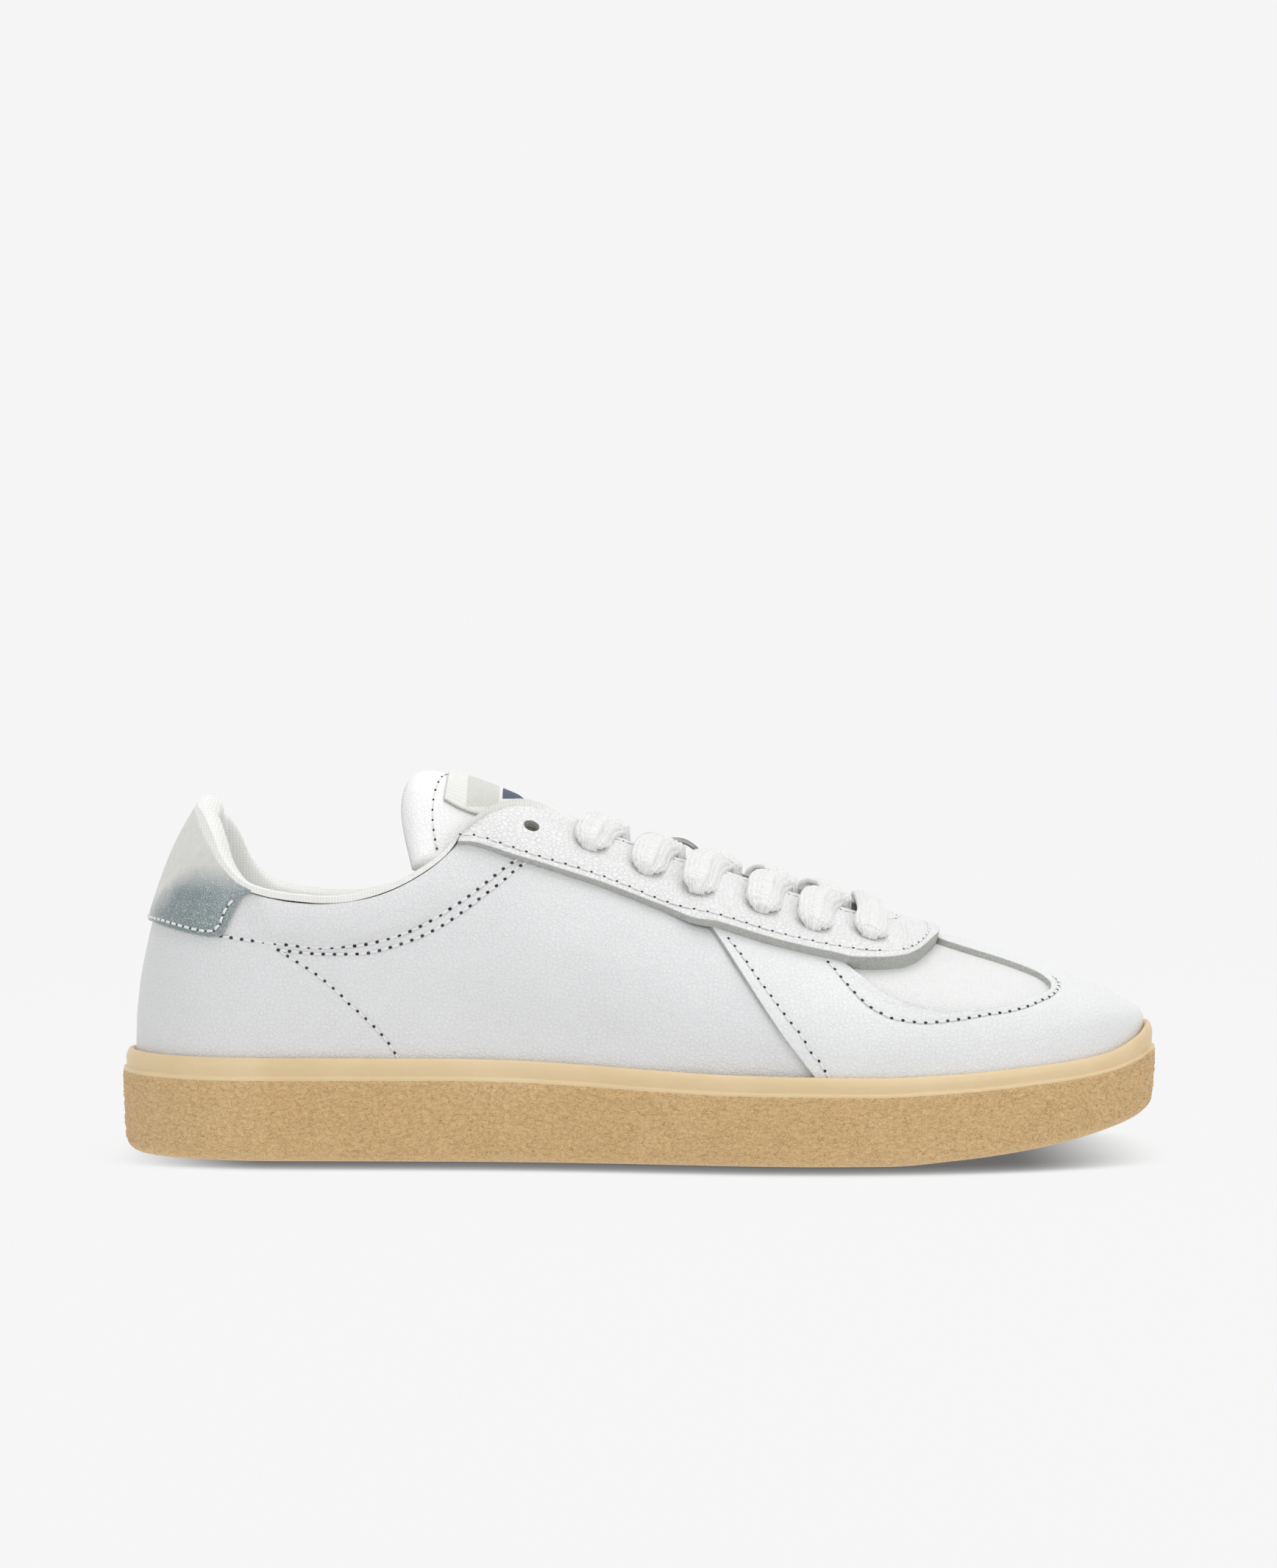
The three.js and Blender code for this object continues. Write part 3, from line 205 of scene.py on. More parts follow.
def point(x, w, depth=0.0):
    """Position of (x, w) at a depth along the outward normal."""
    x, w, depth = np.broadcast_arrays(*(np.asarray(a, float) for a in (x, w, depth)))
    shape = x.shape
    x, w, depth = x.ravel(), w.ravel(), depth.ravel()
    side, v = split_w(w)
    places = surface(x, v, side) + surface_normal(x, v, side) * depth[:, None]
    return places.reshape(shape + (3,))


def normal(x, w):
    x, w = np.broadcast_arrays(np.asarray(x, float), np.asarray(w, float))
    side, v = split_w(w.ravel())
    return surface_normal(x.ravel(), v, side).reshape(x.shape + (3,))


def from_plan(plan_x, plan_y):
    """(x, w) above the widest level under a point of the plan."""
    x = np.clip(plan_x, HEEL_CAP_X, TOE_X - 1e-4)
    ridge = RIDGE_Y(x)
    side = np.where(plan_y < ridge, -1.0, 1.0)
    reach = np.clip((plan_y - ridge) / (CENTRE_Y(x) + side * half_width(x, side) - ridge), 0, 1)
    w = side * (1 - np.arccos(reach ** (1 / WIDTH_POWER(x))) / (math.pi / 2))
    return np.stack([x, w], -1)


def w_step(x, w, mm):
    """The change of |w| that moves a point by mm across the surface."""
    step = .004
    a = np.abs(w)
    side = np.where(np.asarray(w) > 0, 1.0, -1.0)
    low = np.maximum(a - step, 1e-4)
    span = np.linalg.norm(point(x, side * (a + step)) - point(x, side * low), axis=-1)
    return mm * (a + step - low) / span


def value_noise(points, size, seed):
    """Smooth values in -1..1 with cells of the given size, the same every run."""
    q = np.asarray(points, float) / size
    cell = np.floor(q).astype(np.int64)
    f = q - cell
    f = f * f * (3 - 2 * f)
    total = 0
    for corner in itertools.product((0, 1), repeat=3):
        i, j, k = np.moveaxis(cell + corner, -1, 0)
        h = (i * 374761393 + j * 668265263 + k * 2147483647 + seed * 1274126177) & 0xFFFFFFFF
        h = ((h ^ (h >> 13)) * 1274126177) & 0xFFFFFFFF
        value = ((h ^ (h >> 16)) & 0xFFFF) / 65535.0
        total = total + value * np.where(corner, f, 1 - f).prod(-1)
    return total * 2 - 1


# ---- Paths and grids of (x, w) ----
def spline(points):
    return centripetal(np.array(points, float) * [1, W_SCALE], 14) / [1, W_SCALE]


class Path:
    """A line on the surface, read by its share of length."""

    def __init__(self, points, smooth=True):
        self.q = spline(points) if smooth else np.array(points, float)
        self.along = arc_length(point(self.q[:, 0], self.q[:, 1]))
        self.length = self.along[-1]

    def at(self, t):
        u = np.clip(np.asarray(t, float), 0, 1) * self.length
        return np.stack([np.interp(u, self.along, self.q[:, k]) for k in (0, 1)], -1)


def spaced(n, width, start=True, end=True, margins=(.18, .45, .9, 1.6)):
    """Parameters over a width, with extra ones at these margins from each real edge."""
    margins = [m for m in margins if m < width * .2]
    low = [m / width for m in margins] if start else []
    high = [1 - m / width for m in margins][::-1] if end else []
    middle = np.linspace(low[-1] if low else 0, high[0] if high else 1, n + 1)
    middle = middle[(1 if low else 0):(-1 if high else None)]
    return np.array(([0.] if low else []) + low + list(middle) + high + ([1.] if high else []))


def ruled(line_a, line_b, n, m, start=False, end=False):
    """Grid of n steps along two lines and m steps between them."""
    a, b = (p if isinstance(p, Path) else Path(p) for p in (line_a, line_b))
    along = spaced(n, max(a.length, b.length), start, end)
    a, b = a.at(along), b.at(along)
    width = float(np.median(np.linalg.norm(point(*a.T) - point(*b.T), axis=1)))
    return a[:, None] + (b - a)[:, None] * spaced(m, max(width, 1.))[None, :, None]


def toe_half(side, rear_x, shift, inner, n, n_side, n_top):
    """Half of a piece round the toe, from the lower edge up and over to the inner line."""
    inner = Path(inner)
    t = spaced(n, inner.length, end=False)
    q = inner.at(t)
    low_x = np.where(t >= 1, TOE_X, lerp(rear_x, TOE_X, np.sin(t * math.pi / 2)))
    wide_x = np.where(t >= 1, TOE_X, low_x - shift * (1 - t))
    rise = np.linspace(0, 1, n_side + 1)
    wall = np.stack([lerp(low_x[:, None], wide_x[:, None], rise),
                     np.broadcast_to(side * lerp(2, 1, rise), (len(t), n_side + 1))], -1)
    rim, aim = point(wide_x, np.full_like(wide_x, float(side))), point(*q.T)
    width = float(np.median(np.linalg.norm(rim - aim, axis=1)))
    u = spaced(n_top, width, start=False)[1:]
    in_plan = from_plan(*(lerp(rim[:, None, k], aim[:, None, k], u) for k in (0, 1)))
    straight = np.stack([lerp(wide_x[:, None], q[:, None, 0], u),
                         lerp(float(side), q[:, None, 1], u)], -1)
    top = lerp(straight, in_plan, ease(.15, .6, t)[:, None, None])
    top[:, -1] = q
    return np.concatenate([wall, top], 1)


def flip(points):
    return [(x, -w) for x, w in points]


def lateral(points):
    """Lateral (x, w) from (x, v), v being 0 at the widest level and 1 at the ridge."""
    return [(x, -(1 - v)) for x, v in points]


# ---- Meshes ----
def new_object(name, verts, faces, materials, face_material=None, sharp=35):
    """A smooth-shaded object from millimetres; edges over `sharp` degrees stay sharp."""
    mesh = bpy.data.meshes.new(name)
    mesh.from_pydata((np.asarray(verts) * .001).tolist(), [],
                     [list(map(int, f)) for f in faces])
    mesh.validate(verbose=False)
    for material in materials:
        mesh.materials.append(material)
    if face_material is not None:
        mesh.polygons.foreach_set(
            "material_index", np.asarray(face_material, np.int32)[:len(mesh.polygons)])
    mesh.polygons.foreach_set("use_smooth", np.ones(len(mesh.polygons), bool))
    if sharp:
        mesh.set_sharp_from_angle(angle=math.radians(sharp))
    mesh.update()
    obj = bpy.data.objects.new(name, mesh)
    bpy.context.scene.collection.objects.link(obj)
    return obj


def outward(obj):
    """Turn all faces of a closed object outwards."""
    bm = bmesh.new()
    bm.from_mesh(obj.data)
    bmesh.ops.recalc_face_normals(bm, faces=bm.faces)
    if bm.calc_volume(signed=True) < 0:
        bmesh.ops.reverse_faces(bm, faces=bm.faces)
    bm.to_mesh(obj.data)
    bm.free()
    obj.data.update()
    return obj


def grid_quads(index):
    return np.stack([index[:-1, :-1], index[1:, :-1], index[1:, 1:], index[:-1, 1:]],
                    -1).reshape(-1, 4)


def tube_faces(rings, around):
    """Faces of a capped tube."""
    faces = [[i * around + q, i * around + (q + 1) % around,
              (i + 1) * around + (q + 1) % around, (i + 1) * around + q]
             for i in range(rings - 1) for q in range(around)]
    last = (rings - 1) * around
    return faces + [list(range(around))[::-1], [last + q for q in range(around)]]


def collapse(face):
    """The face without repeated corners, or None if too few are left."""
    face = [a for i, a in enumerate(face) if a != face[i - 1]]
    return face if len(face) >= 3 and len(set(face)) == len(face) else None


def weld_grids(grids):
    """Shared x, w and faces of grids, joined along the heel's and the toe's centre line."""
    ids, points, faces = {}, [], []
    for grid in grids:
        index = np.zeros(grid.shape[:2], int)
        for i, j in np.ndindex(index.shape):
            x, w = grid[i, j]
            if x <= HEEL_X + 1e-9:
                key = ("heel", round(abs(w), 5))
            elif x >= TOE_X - 1e-9:
                key = "toe" if abs(w) <= 1 else ("toe", round(abs(w), 5))
            else:
                key = (round(x, 4), round(w, 5))
            if key not in ids:
                ids[key] = len(points)
                points.append((x, w))
            index[i, j] = ids[key]
        part = [f for f in map(collapse, grid_quads(index).tolist()) if f]
        places = point(grid[..., 0], grid[..., 1])
        a = places[1:, :-1] - places[:-1, :-1]
        b = places[:-1, 1:] - places[:-1, :-1]
        facing = float((np.cross(a, b) * normal(grid[..., 0], grid[..., 1])[:-1, :-1]).sum())
        faces += part if facing > 0 else [f[::-1] for f in part]
    x, w = np.array(points).T
    return x, w, faces


def boundary(faces):
    edges = {(f[k], f[(k + 1) % len(f)]): 1 for f in faces for k in range(len(f))}
    return [(a, b) for a, b in edges if (b, a) not in edges]


def nearest(targets, verts):
    """Distance from each vertex to the closest target."""
    tree = kdtree.KDTree(len(targets))
    for i, p in enumerate(targets):
        tree.insert(Vector(p), i)
    tree.balance()
    return np.array([tree.find(Vector(v))[2] for v in verts])


def rim_distance(rim, verts, shares):
    a, b = (verts[[edge[k] for edge in rim]] for k in (0, 1))
    return nearest(np.concatenate([lerp(a, b, t) for t in shares]), verts)


def round_off(distance, radius):
    """Drop of a rounded edge at a distance from the rim."""
    k = np.clip(1 - distance / radius, 0, 1)
    return radius * (1 - np.sqrt(np.clip(1 - k * k, 0, 1)))


def sunk(grooves, verts):
    """Depth pressed in by stitch lines, each (points, depth, width)."""
    return sum(depth * np.exp(-(nearest(line, verts) / width) ** 2)
               for line, depth, width in grooves)


def depths(depth, x, w):
    """Depths at the points, from a number or a function of x and w."""
    return np.array(depth(x, w) if callable(depth) else np.full(np.shape(x), float(depth)))


def shell(name, grids, outer, inner, materials, rounding=.4, grooves=(), noise=.05):
    """A panel with a rounded outer face, sunk stitch lines, a raw side wall and an inner face."""
    x, w, faces = weld_grids(grids)
    rim = boundary(faces)
    flat = point(x, w)
    edge = rim_distance(rim, flat, (0, .33, .67))
    top = depths(outer, x, w) - round_off(edge, rounding) - sunk(grooves, flat)
    top += noise * value_noise(flat, 9.0, 3) * np.clip(edge / 2, 0, 1)
    bottom = depths(inner, x, w)
    n = len(x)
    rim_ids = sorted({i for e in rim for i in e})
    middle = {i: 2 * n + k for k, i in enumerate(rim_ids)}
    rough = value_noise(flat[rim_ids], 1.3, 7)[:, None] * .10
    wall = point(x[rim_ids], w[rim_ids], (top * .45 + bottom * .55)[rim_ids])
    wall += rough * (flat[rim_ids] - flat[rim_ids].mean(0)) / 60
    all_faces = faces + [[n + i for i in reversed(f)] for f in faces]
    slots = [0] * len(faces) + [1] * len(faces)
    for i, j in rim:
        all_faces += [[j, i, middle[i], middle[j]], [middle[j], middle[i], n + i, n + j]]
        slots += [1, 1]
    verts = np.vstack([point(x, w, top), point(x, w, bottom), wall])
    return new_object(name, verts, all_faces, materials, slots)


def circle(n):
    """Columns of cosines and sines round a circle."""
    angle = 2 * math.pi * np.arange(n)[:, None] / n
    return np.cos(angle), np.sin(angle)


class Solids:
    """Many small solids gathered into one mesh."""

    def __init__(self):
        self.verts, self.faces, self.total = [], [], 0

    def add(self, verts, faces):
        self.verts.append(verts)
        self.faces += [[i + self.total for i in f] for f in faces]
        self.total += len(verts)

    def make(self, name, material):
        return new_object(name, np.vstack(self.verts), self.faces, [material], sharp=60)


class Seams:
    """Threads of one body, and the dark discs of painted shade at their needle holes."""
    RINGS, AROUND = 7, 7    # of one stitch
    SINK, FLAT = .35, .8    # how deep a stitch's ends dip; its height over its width
    HOLE_AROUND = 8

    def __init__(self):
        self.threads, self.holes = Solids(), Solids()

    def add_thread(self, a, b, up, radius):
        across = np.cross((b - a) / np.linalg.norm(b - a), up)
        across /= np.linalg.norm(across)
        t = np.linspace(0, 1, self.RINGS)
        bulge = np.sin(math.pi * t)
        lift = -self.SINK + (self.SINK + radius * .45) * bulge ** .5
        centres = a + (b - a) * t[:, None] + up * lift[:, None]
        radii = radius * (.55 + .45 * bulge ** .4)
        cos, sin = circle(self.AROUND)
        verts = centres[:, None] + radii[:, None, None] * (cos * across + self.FLAT * sin * up)
        self.threads.add(verts.reshape(-1, 3), tube_faces(self.RINGS, self.AROUND))

    def add_hole_shade(self, centre, up, along, radius):
        """A small lens with its rim just proud of the leather; its dark material paints the shade
        inside a needle hole.
        """
        n = self.HOLE_AROUND
        cos, sin = circle(n)
        rim = centre + radius * (1.2 * cos * along + sin * np.cross(along, up)) + up * .05
        faces = [[0, 1 + q, 1 + (q + 1) % n] for q in range(n)]
        faces += [[n + 1, 1 + (q + 1) % n, 1 + q] for q in range(n)]
        self.holes.add(np.vstack([centre + up * .13, rim, centre - up * .25]), faces)

    def stitch(self, line, depth, sink, width, pitch=3.1, radius=.36, gap=.55, hole=.42):
        """Sew along a line; returns the groove (points, sink, width) pressed under it. A dark
        disc of painted shade, sized by hole, marks each needle hole.
        """
        path = Path(line)
        n = max(2, int(round(path.length / pitch)))
        x, w = path.at(np.linspace(0, 1, n + 1)).T
        places = point(x, w, depths(depth, x, w))
        normals = normal(x, w)
        for i in range(n):
            along = places[i + 1] - places[i]
            along /= np.linalg.norm(along)
            up = normals[i] + normals[i + 1]
            up /= np.linalg.norm(up)
            self.add_thread(places[i] + along * gap * .5, places[i + 1] - along * gap * .5,
                            up, radius)
            if hole:
                self.add_hole_shade(places[i], normals[i], along, hole * .8)
        return point(*path.at(np.linspace(0, 1, n * 6)).T), sink, width


seams, tongue_seams = Seams(), Seams()
placed = []


def put(obj, body, slot, *replaced):
    placed.append((obj, body, slot, replaced))


# ---- Shader nodes ----
def srgb(*levels):
    """8-bit display colour to linear."""
    return tuple(((v / 255 + .055) / 1.055) ** 2.4 if v > 10 else v / 255 / 12.92
                 for v in levels)


def shade(color, k):
    return tuple(k * v for v in color)


class Nodes:
    """Short forms for making shader nodes; an input is a value, a colour or a socket."""

    def __init__(self, tree):
        self.tree = tree

    def feed(self, socket, value):
        if isinstance(value, bpy.types.NodeSocket):
            self.tree.links.new(value, socket)
        elif isinstance(value, tuple) and socket.type == "RGBA":
            socket.default_value = (*value, 1)
        else:
            socket.default_value = value

    def node(self, kind, inputs, **settings):
        node = self.tree.nodes.new("ShaderNode" + kind)
        for key, value in settings.items():
            setattr(node, key, value)
        for key, value in inputs.items():
            self.feed(node.inputs[key], value)
        return node

    def math(self, operation, *values, clamp=False):
        return self.node("Math", dict(enumerate(values)), operation=operation,
                         use_clamp=clamp).outputs[0]

    def add(self, a, b):
        return self.math("ADD", a, b)

    def sub(self, a, b):
        return self.math("SUBTRACT", a, b)

    def mul(self, a, b, clamp=False):
        return self.math("MULTIPLY", a, b, clamp=clamp)

    def mix(self, share, a, b):
        return self.node("Mix", {0: share, 6: a, 7: b}, data_type="RGBA").outputs[2]

    def ramp(self, share, *stops):
        """Colour ramp; stops are (position, grey or colour)."""
        node = self.node("ValToRGB", {"Fac": share})
        elements = node.color_ramp.elements
        while len(elements) < len(stops):
            elements.new(.5)
        for k, (position, c) in enumerate(stops):
            elements[k].position = position
            elements[k].color = (*c, 1) if isinstance(c, tuple) else (c, c, c, 1)
        return node.outputs["Color"]

    def map_range(self, value, **limits):
        """MapRange node; to_min=.5 sets "To Min", and so on."""
        inputs = {key.replace("_", " ").title(): v for key, v in limits.items()}
        return self.node("MapRange", {"Value": value, **inputs})


class Material(Nodes):
    """A Principled material textured in object space; bumps stack in the order made."""

    def __init__(self, name, roughness, specular):
        self.material = bpy.data.materials.new(name)
        self.material.use_nodes = True
        super().__init__(self.material.node_tree)
        self.bsdf = self.tree.nodes["Principled BSDF"]
        self.set({"Roughness": roughness, "Specular IOR Level": specular})
        self.coords = self.node("TexCoord", {}).outputs["Object"]
        self.height = None

    def set(self, inputs):
        for key, value in inputs.items():
            self.feed(self.bsdf.inputs[key], value)

    def color(self, value):
        self.set({"Base Color": value})

    def noise(self, scale, detail=3, rough=.55, distortion=0.0, coords=None):
        return self.node("TexNoise", {
            "Scale": scale, "Detail": detail, "Roughness": rough, "Distortion": distortion,
            "Vector": coords or self.coords}).outputs["Fac"]

    def cells(self, scale, feature="F1"):
        return self.node("TexVoronoi", {"Scale": scale, "Randomness": 1.0,
                                        "Vector": self.coords},
                         feature=feature).outputs["Distance"]

    def wave(self, direction, scale, **extra):
        inputs = {key.replace("_", " ").title(): v for key, v in extra.items()}
        return self.node("TexWave", {"Scale": scale, "Vector": self.coords, **inputs},
                         bands_direction=direction).outputs["Fac"]

    def xyz(self):
        return self.node("SeparateXYZ", {0: self.coords}).outputs

    def stretch_z(self, k):
        return self.node("Mapping", {"Scale": (1, 1, k), "Vector": self.coords}).outputs[0]

    def bump(self, height, mm):
        inputs = {"Distance": mm * .001, "Strength": 1.0, "Height": height}
        if self.height is not None:
            inputs["Normal"] = self.height
        self.height = self.node("Bump", inputs).outputs["Normal"]
        self.set({"Normal": self.height})

    def roughness(self, value, low, high):
        self.set({"Roughness": self.map_range(value, to_min=low, to_max=high).outputs[0]})


# ---- Materials ----
def leather(name, tint, pebble, pebble_mm, rough=(.42, .58)):
    """Pebbled leather; pebble is the grain's texture scale, pebble_mm its height."""
    m = Material(name, roughness=.5, specular=.42)
    patches = m.ramp(m.noise(28, detail=2), (.3, 0.0), (.7, 1.0))
    specks = m.ramp(m.noise(700, detail=4, rough=.6), (.35, 0.0), (.75, 1.0))
    base = m.mix(patches, shade(tint, .965), tint)
    m.color(m.mix(m.mul(specks, .22), base, shade(tint, .93)))
    creases = m.cells(pebble * .55, feature="DISTANCE_TO_EDGE")
    m.bump(m.ramp(creases, (0.0, 0.0), (.16, 1.0)), mm=pebble_mm)
    m.bump(m.cells(pebble), mm=pebble_mm * .7)
    m.bump(m.noise(pebble * 2.2, detail=5, rough=.7), mm=pebble_mm * .5)
    m.bump(m.noise(60), mm=.30)
    m.roughness(m.noise(420, detail=4), *rough)
    m.set({"Coat Weight": .06, "Coat Roughness": .35})
    return m.material


def raw_edge():
    m = Material("raw_leather_edge", roughness=.9, specular=.2)
    fibres = m.stretch_z(2.6)
    m.color(m.ramp(m.noise(900, detail=6, rough=.75, distortion=1.5, coords=fibres),
                   (.25, srgb(176, 179, 174)), (.5, srgb(216, 218, 213)),
                   (.8, srgb(240, 240, 236))))
    m.bump(m.noise(1500, detail=6, rough=.8, distortion=2.0, coords=fibres), mm=.45)
    m.bump(m.cells(1300), mm=.3)
    return m.material


def flesh_side():
    m = Material("leather_flesh_side", roughness=.95, specular=.15)
    m.color(m.ramp(m.noise(500, detail=6, rough=.7),
                   (.3, (.60, .58, .54)), (.7, (.75, .73, .69))))
    m.bump(m.noise(1600, detail=5, rough=.7), mm=.2)
    return m.material


def tab_leather():
    """Grey flecked leather below a diagonal line, cream above it; lengths in metres."""
    m = Material("heel_tab_two_tone_leather", roughness=.45, specular=.45)
    x, _, z = m.xyz()
    slope, line_x, line_z = .93, .1363, .0752
    below = m.sub(m.add(m.mul(m.add(x, line_x), slope), line_z), z)
    below = m.add(below, m.mul(m.sub(m.noise(140), .5), .006))
    grey = m.ramp(m.mul(m.add(below, .0035), 140, clamp=True),
                  (.0, 0.0), (.45, .55), (1.0, 1.0))
    # the grey fades towards the top and the very back
    top = m.ramp(m.mul(m.sub(z, .0765), 130, clamp=True), (.0, 1.0), (1.0, .12))
    back = m.ramp(m.mul(m.add(x, .1445), 150, clamp=True), (.0, .55), (1.0, 1.0))
    grey = m.mul(m.mul(grey, top), back)
    flecked = m.ramp(m.noise(2600, detail=2, rough=.5), (.3, srgb(108, 123, 124)),
                     (.5, srgb(131, 145, 146)), (.72, srgb(176, 187, 186)))
    glints = m.ramp(m.noise(1900, detail=1), (.62, 0.0), (.68, 1.0))
    flecked = m.mix(m.mul(glints, .5), flecked, srgb(228, 234, 233))
    flecked = m.mix(m.ramp(m.noise(45, detail=2), (.4, 0.0), (.75, .35)), flecked,
                    srgb(168, 172, 182))
    cream = m.mix(m.ramp(m.noise(500, detail=4), (.3, 0.0), (.7, 1.0)),
                  srgb(215, 215, 211), srgb(224, 223, 219))
    m.color(m.mix(grey, cream, flecked))
    m.bump(m.cells(1600), mm=.05)
    m.bump(m.noise(2600), mm=.05)
    m.roughness(grey, .5, .34)
    m.set({"Metallic": m.mul(grey, .22)})
    return m.material


def textile(name, tint, scale, mm):
    """Woven cloth; scale is the weave's and mm its relief. Its low parts are painted darker, as
    shade.
    """
    m = Material(name, roughness=.92, specular=.25)
    wave_x, wave_z, wave_y = [
        m.wave(axis, scale, distortion=1.2, detail=2, detail_scale=3) for axis in "XZY"]
    weave = m.add(m.mul(wave_x, .5), m.mul(m.add(wave_z, wave_y), .25))
    # painted shade: darker where the weave's relief is low
    base = m.mix(m.ramp(weave, (.2, 0.0), (.8, 1.0)), shade(tint, .86), tint)
    m.color(m.mix(m.mul(m.noise(90, detail=4), .18), base, shade(tint, .9)))
    m.bump(weave, mm=mm)
    m.bump(m.noise(2500), mm=mm * .5)
    m.set({"Sheen Weight": .25, "Sheen Roughness": .5})
    return m.material


def lace_weave():
    m = Material("lace_weave", roughness=.85, specular=.3)
    braid = m.wave("Y", 330, distortion=3.5, detail=2, detail_scale=2)
    weave = m.add(m.mul(braid, .6), m.mul(m.cells(1500), .6))
    # painted shade: the braid is darker where its relief is low
    m.color(m.mix(m.ramp(weave, (.15, 0.0), (.7, 1.0)), (.76, .76, .747), (.86, .86, .85)))
    m.bump(weave, mm=.22)
    m.bump(m.noise(3200), mm=.08)
    m.set({"Sheen Weight": .3, "Subsurface Weight": .08, "Subsurface Scale": .002})
    return m.material


def gum(name, tones, textured):
    """Gum rubber in dark, middle and light tones, with or without moulded creases. On the creased
    kind the raised creases are painted lighter, as a highlight, and the ground between them
    darker, as shade.
    """
    m = Material(name, roughness=.55, specular=.4)
    color = m.ramp(m.noise(35, detail=4, rough=.6), *zip((.3, .5, .72), tones))
    if textured:
        creases = m.ramp(m.noise(620, detail=2.5, rough=.5, distortion=.9,
                                 coords=m.stretch_z(1.5)), (.38, 0.0), (.5, 1.0), (.62, 0.0))
        fine = m.ramp(m.noise(1050, detail=2, rough=.5, distortion=1.2),
                      (.36, 0.0), (.5, 1.0), (.64, 0.0))
        # painted shade between the raised creases, then a painted highlight on them
        color = m.mix(m.mul(m.sub(1.0, creases), .10), color, srgb(205, 160, 100))
        color = m.mix(m.mul(creases, .18), color, srgb(228, 197, 148))
        m.bump(creases, mm=.18)
        m.bump(fine, mm=.06)
        m.roughness(m.noise(300), .42, .62)
    else:
        m.bump(m.noise(500, detail=4), mm=.02)
        m.roughness(m.noise(90), .38, .5)
    m.color(color)
    m.set({"Subsurface Weight": .12, "Subsurface Scale": .002,
           "Subsurface Radius": (1, .55, .25)})
    return m.material


def stitch_thread():
    m = Material("stitch_thread", roughness=.75, specular=.3)
    m.color(m.mix(m.noise(900), (.74, .74, .73), (.88, .88, .87)))
    m.bump(m.noise(4200, detail=2), mm=.05)
    return m.material


def needle_hole_shade():
    # near black: painted shade standing in for the dark inside of each needle hole
    m = Material("needle_hole_shade", roughness=.95, specular=.1)
    m.color(m.ramp(m.noise(800), (.3, (.02, .022, .03)), (.7, (.075, .08, .095))))
    return m.material


def foam(name, tint):
    m = Material(name, roughness=.95, specular=.15)
    m.color(m.mix(m.cells(700), tint, shade(tint, .82)))
    m.bump(m.cells(1400), mm=.25)
    m.bump(m.noise(600, detail=5), mm=.3)
    return m.material


def fibre_board():
    m = Material("fibre_board", roughness=.9, specular=.2)
    m.color(m.mix(m.noise(900, detail=6, rough=.75), (.55, .48, .38), (.72, .66, .55)))
    m.bump(m.noise(1800, detail=5, rough=.8), mm=.15)
    return m.material


def woven_label():
    """Off-white weave with two darker blocks, bounded in x and z in metres: a grey printed
    emblem, and a dark grey-blue block of painted shade over part of the label.
    """
    m = Material("tongue_label_woven", roughness=.8, specular=.3)
    x, _, z = m.xyz()

    def block(x_min, x_max, z_min):
        inside = m.mul(m.math("GREATER_THAN", x, x_min), m.math("LESS_THAN", x, x_max))
        return m.mul(inside, m.math("GREATER_THAN", z, z_min))
    color = m.mix(m.noise(600, detail=4), srgb(226, 227, 222), srgb(236, 236, 232))
    color = m.mix(m.mul(block(-.0497, -.0405, .1005), .38), color, srgb(168, 172, 158))
    # painted shade: the dark grey-blue block stands for the part of the label lying in shadow
    m.color(m.mix(block(-.0396, -.0325, .1028), color, srgb(92, 98, 116)))
    m.bump(m.wave("Y", 420), mm=.08)
    m.bump(m.noise(1800), mm=.05)
    return m.material


def aglet_film():
    m = Material("clear_aglet_film", roughness=.25, specular=.5)
    m.color(m.mix(m.noise(300), (.80, .80, .78), (.90, .90, .88)))
    m.bump(m.noise(900, detail=2), mm=.04)
    m.set({"Coat Weight": .5})
    return m.material


# Tints: the quarters' white leather is painted darker, as shade, and the tongue's much lighter,
# as light, than that of the toe pieces and the eyestay.
QUARTER_LEATHER_PAINTED_DARKER = leather("white_quarter_leather_painted_darker", (.765, .768, .777), 1400, .09)
TONGUE_LEATHER_PAINTED_LIGHTER = leather("white_tongue_leather_painted_lighter", (.95, .955, .95), 1300, .08)
TOE_LEATHER = leather("white_toe_leather", (.81, .816, .809), 1600, .08)
OVERLAY_LEATHER = leather("white_overlay_leather", (.815, .818, .825), 1400, .09)
STAY_LEATHER = leather("white_grained_leather", (.815, .819, .813), 1250, .15, rough=(.40, .6))
RAW_EDGE = raw_edge()
FLESH = flesh_side()
TAB_LEATHER = tab_leather()
LINING_CLOTH = textile("cotton_lining", (.90, .896, .875), 380, .10)
SOCK_CLOTH = textile("sockliner_fabric", (.80, .79, .74), 260, .14)
LACE = lace_weave()
BAND_GUM = gum("gum_rubber_smooth",
               (srgb(216, 191, 149), srgb(222, 198, 157), srgb(227, 205, 167)), False)
WALL_GUM = gum("gum_rubber_textured",
               (srgb(217, 181, 129), srgb(221, 185, 132), srgb(225, 191, 140)), True)
THREAD = stitch_thread()
HOLE_SHADE = needle_hole_shade()
FOAM = foam("open_cell_foam", (.83, .80, .70))
SOLE_FOAM = foam("sole_foam", (.80, .78, .72))
BOARD = fibre_board()
LABEL = woven_label()
AGLET = aglet_film()

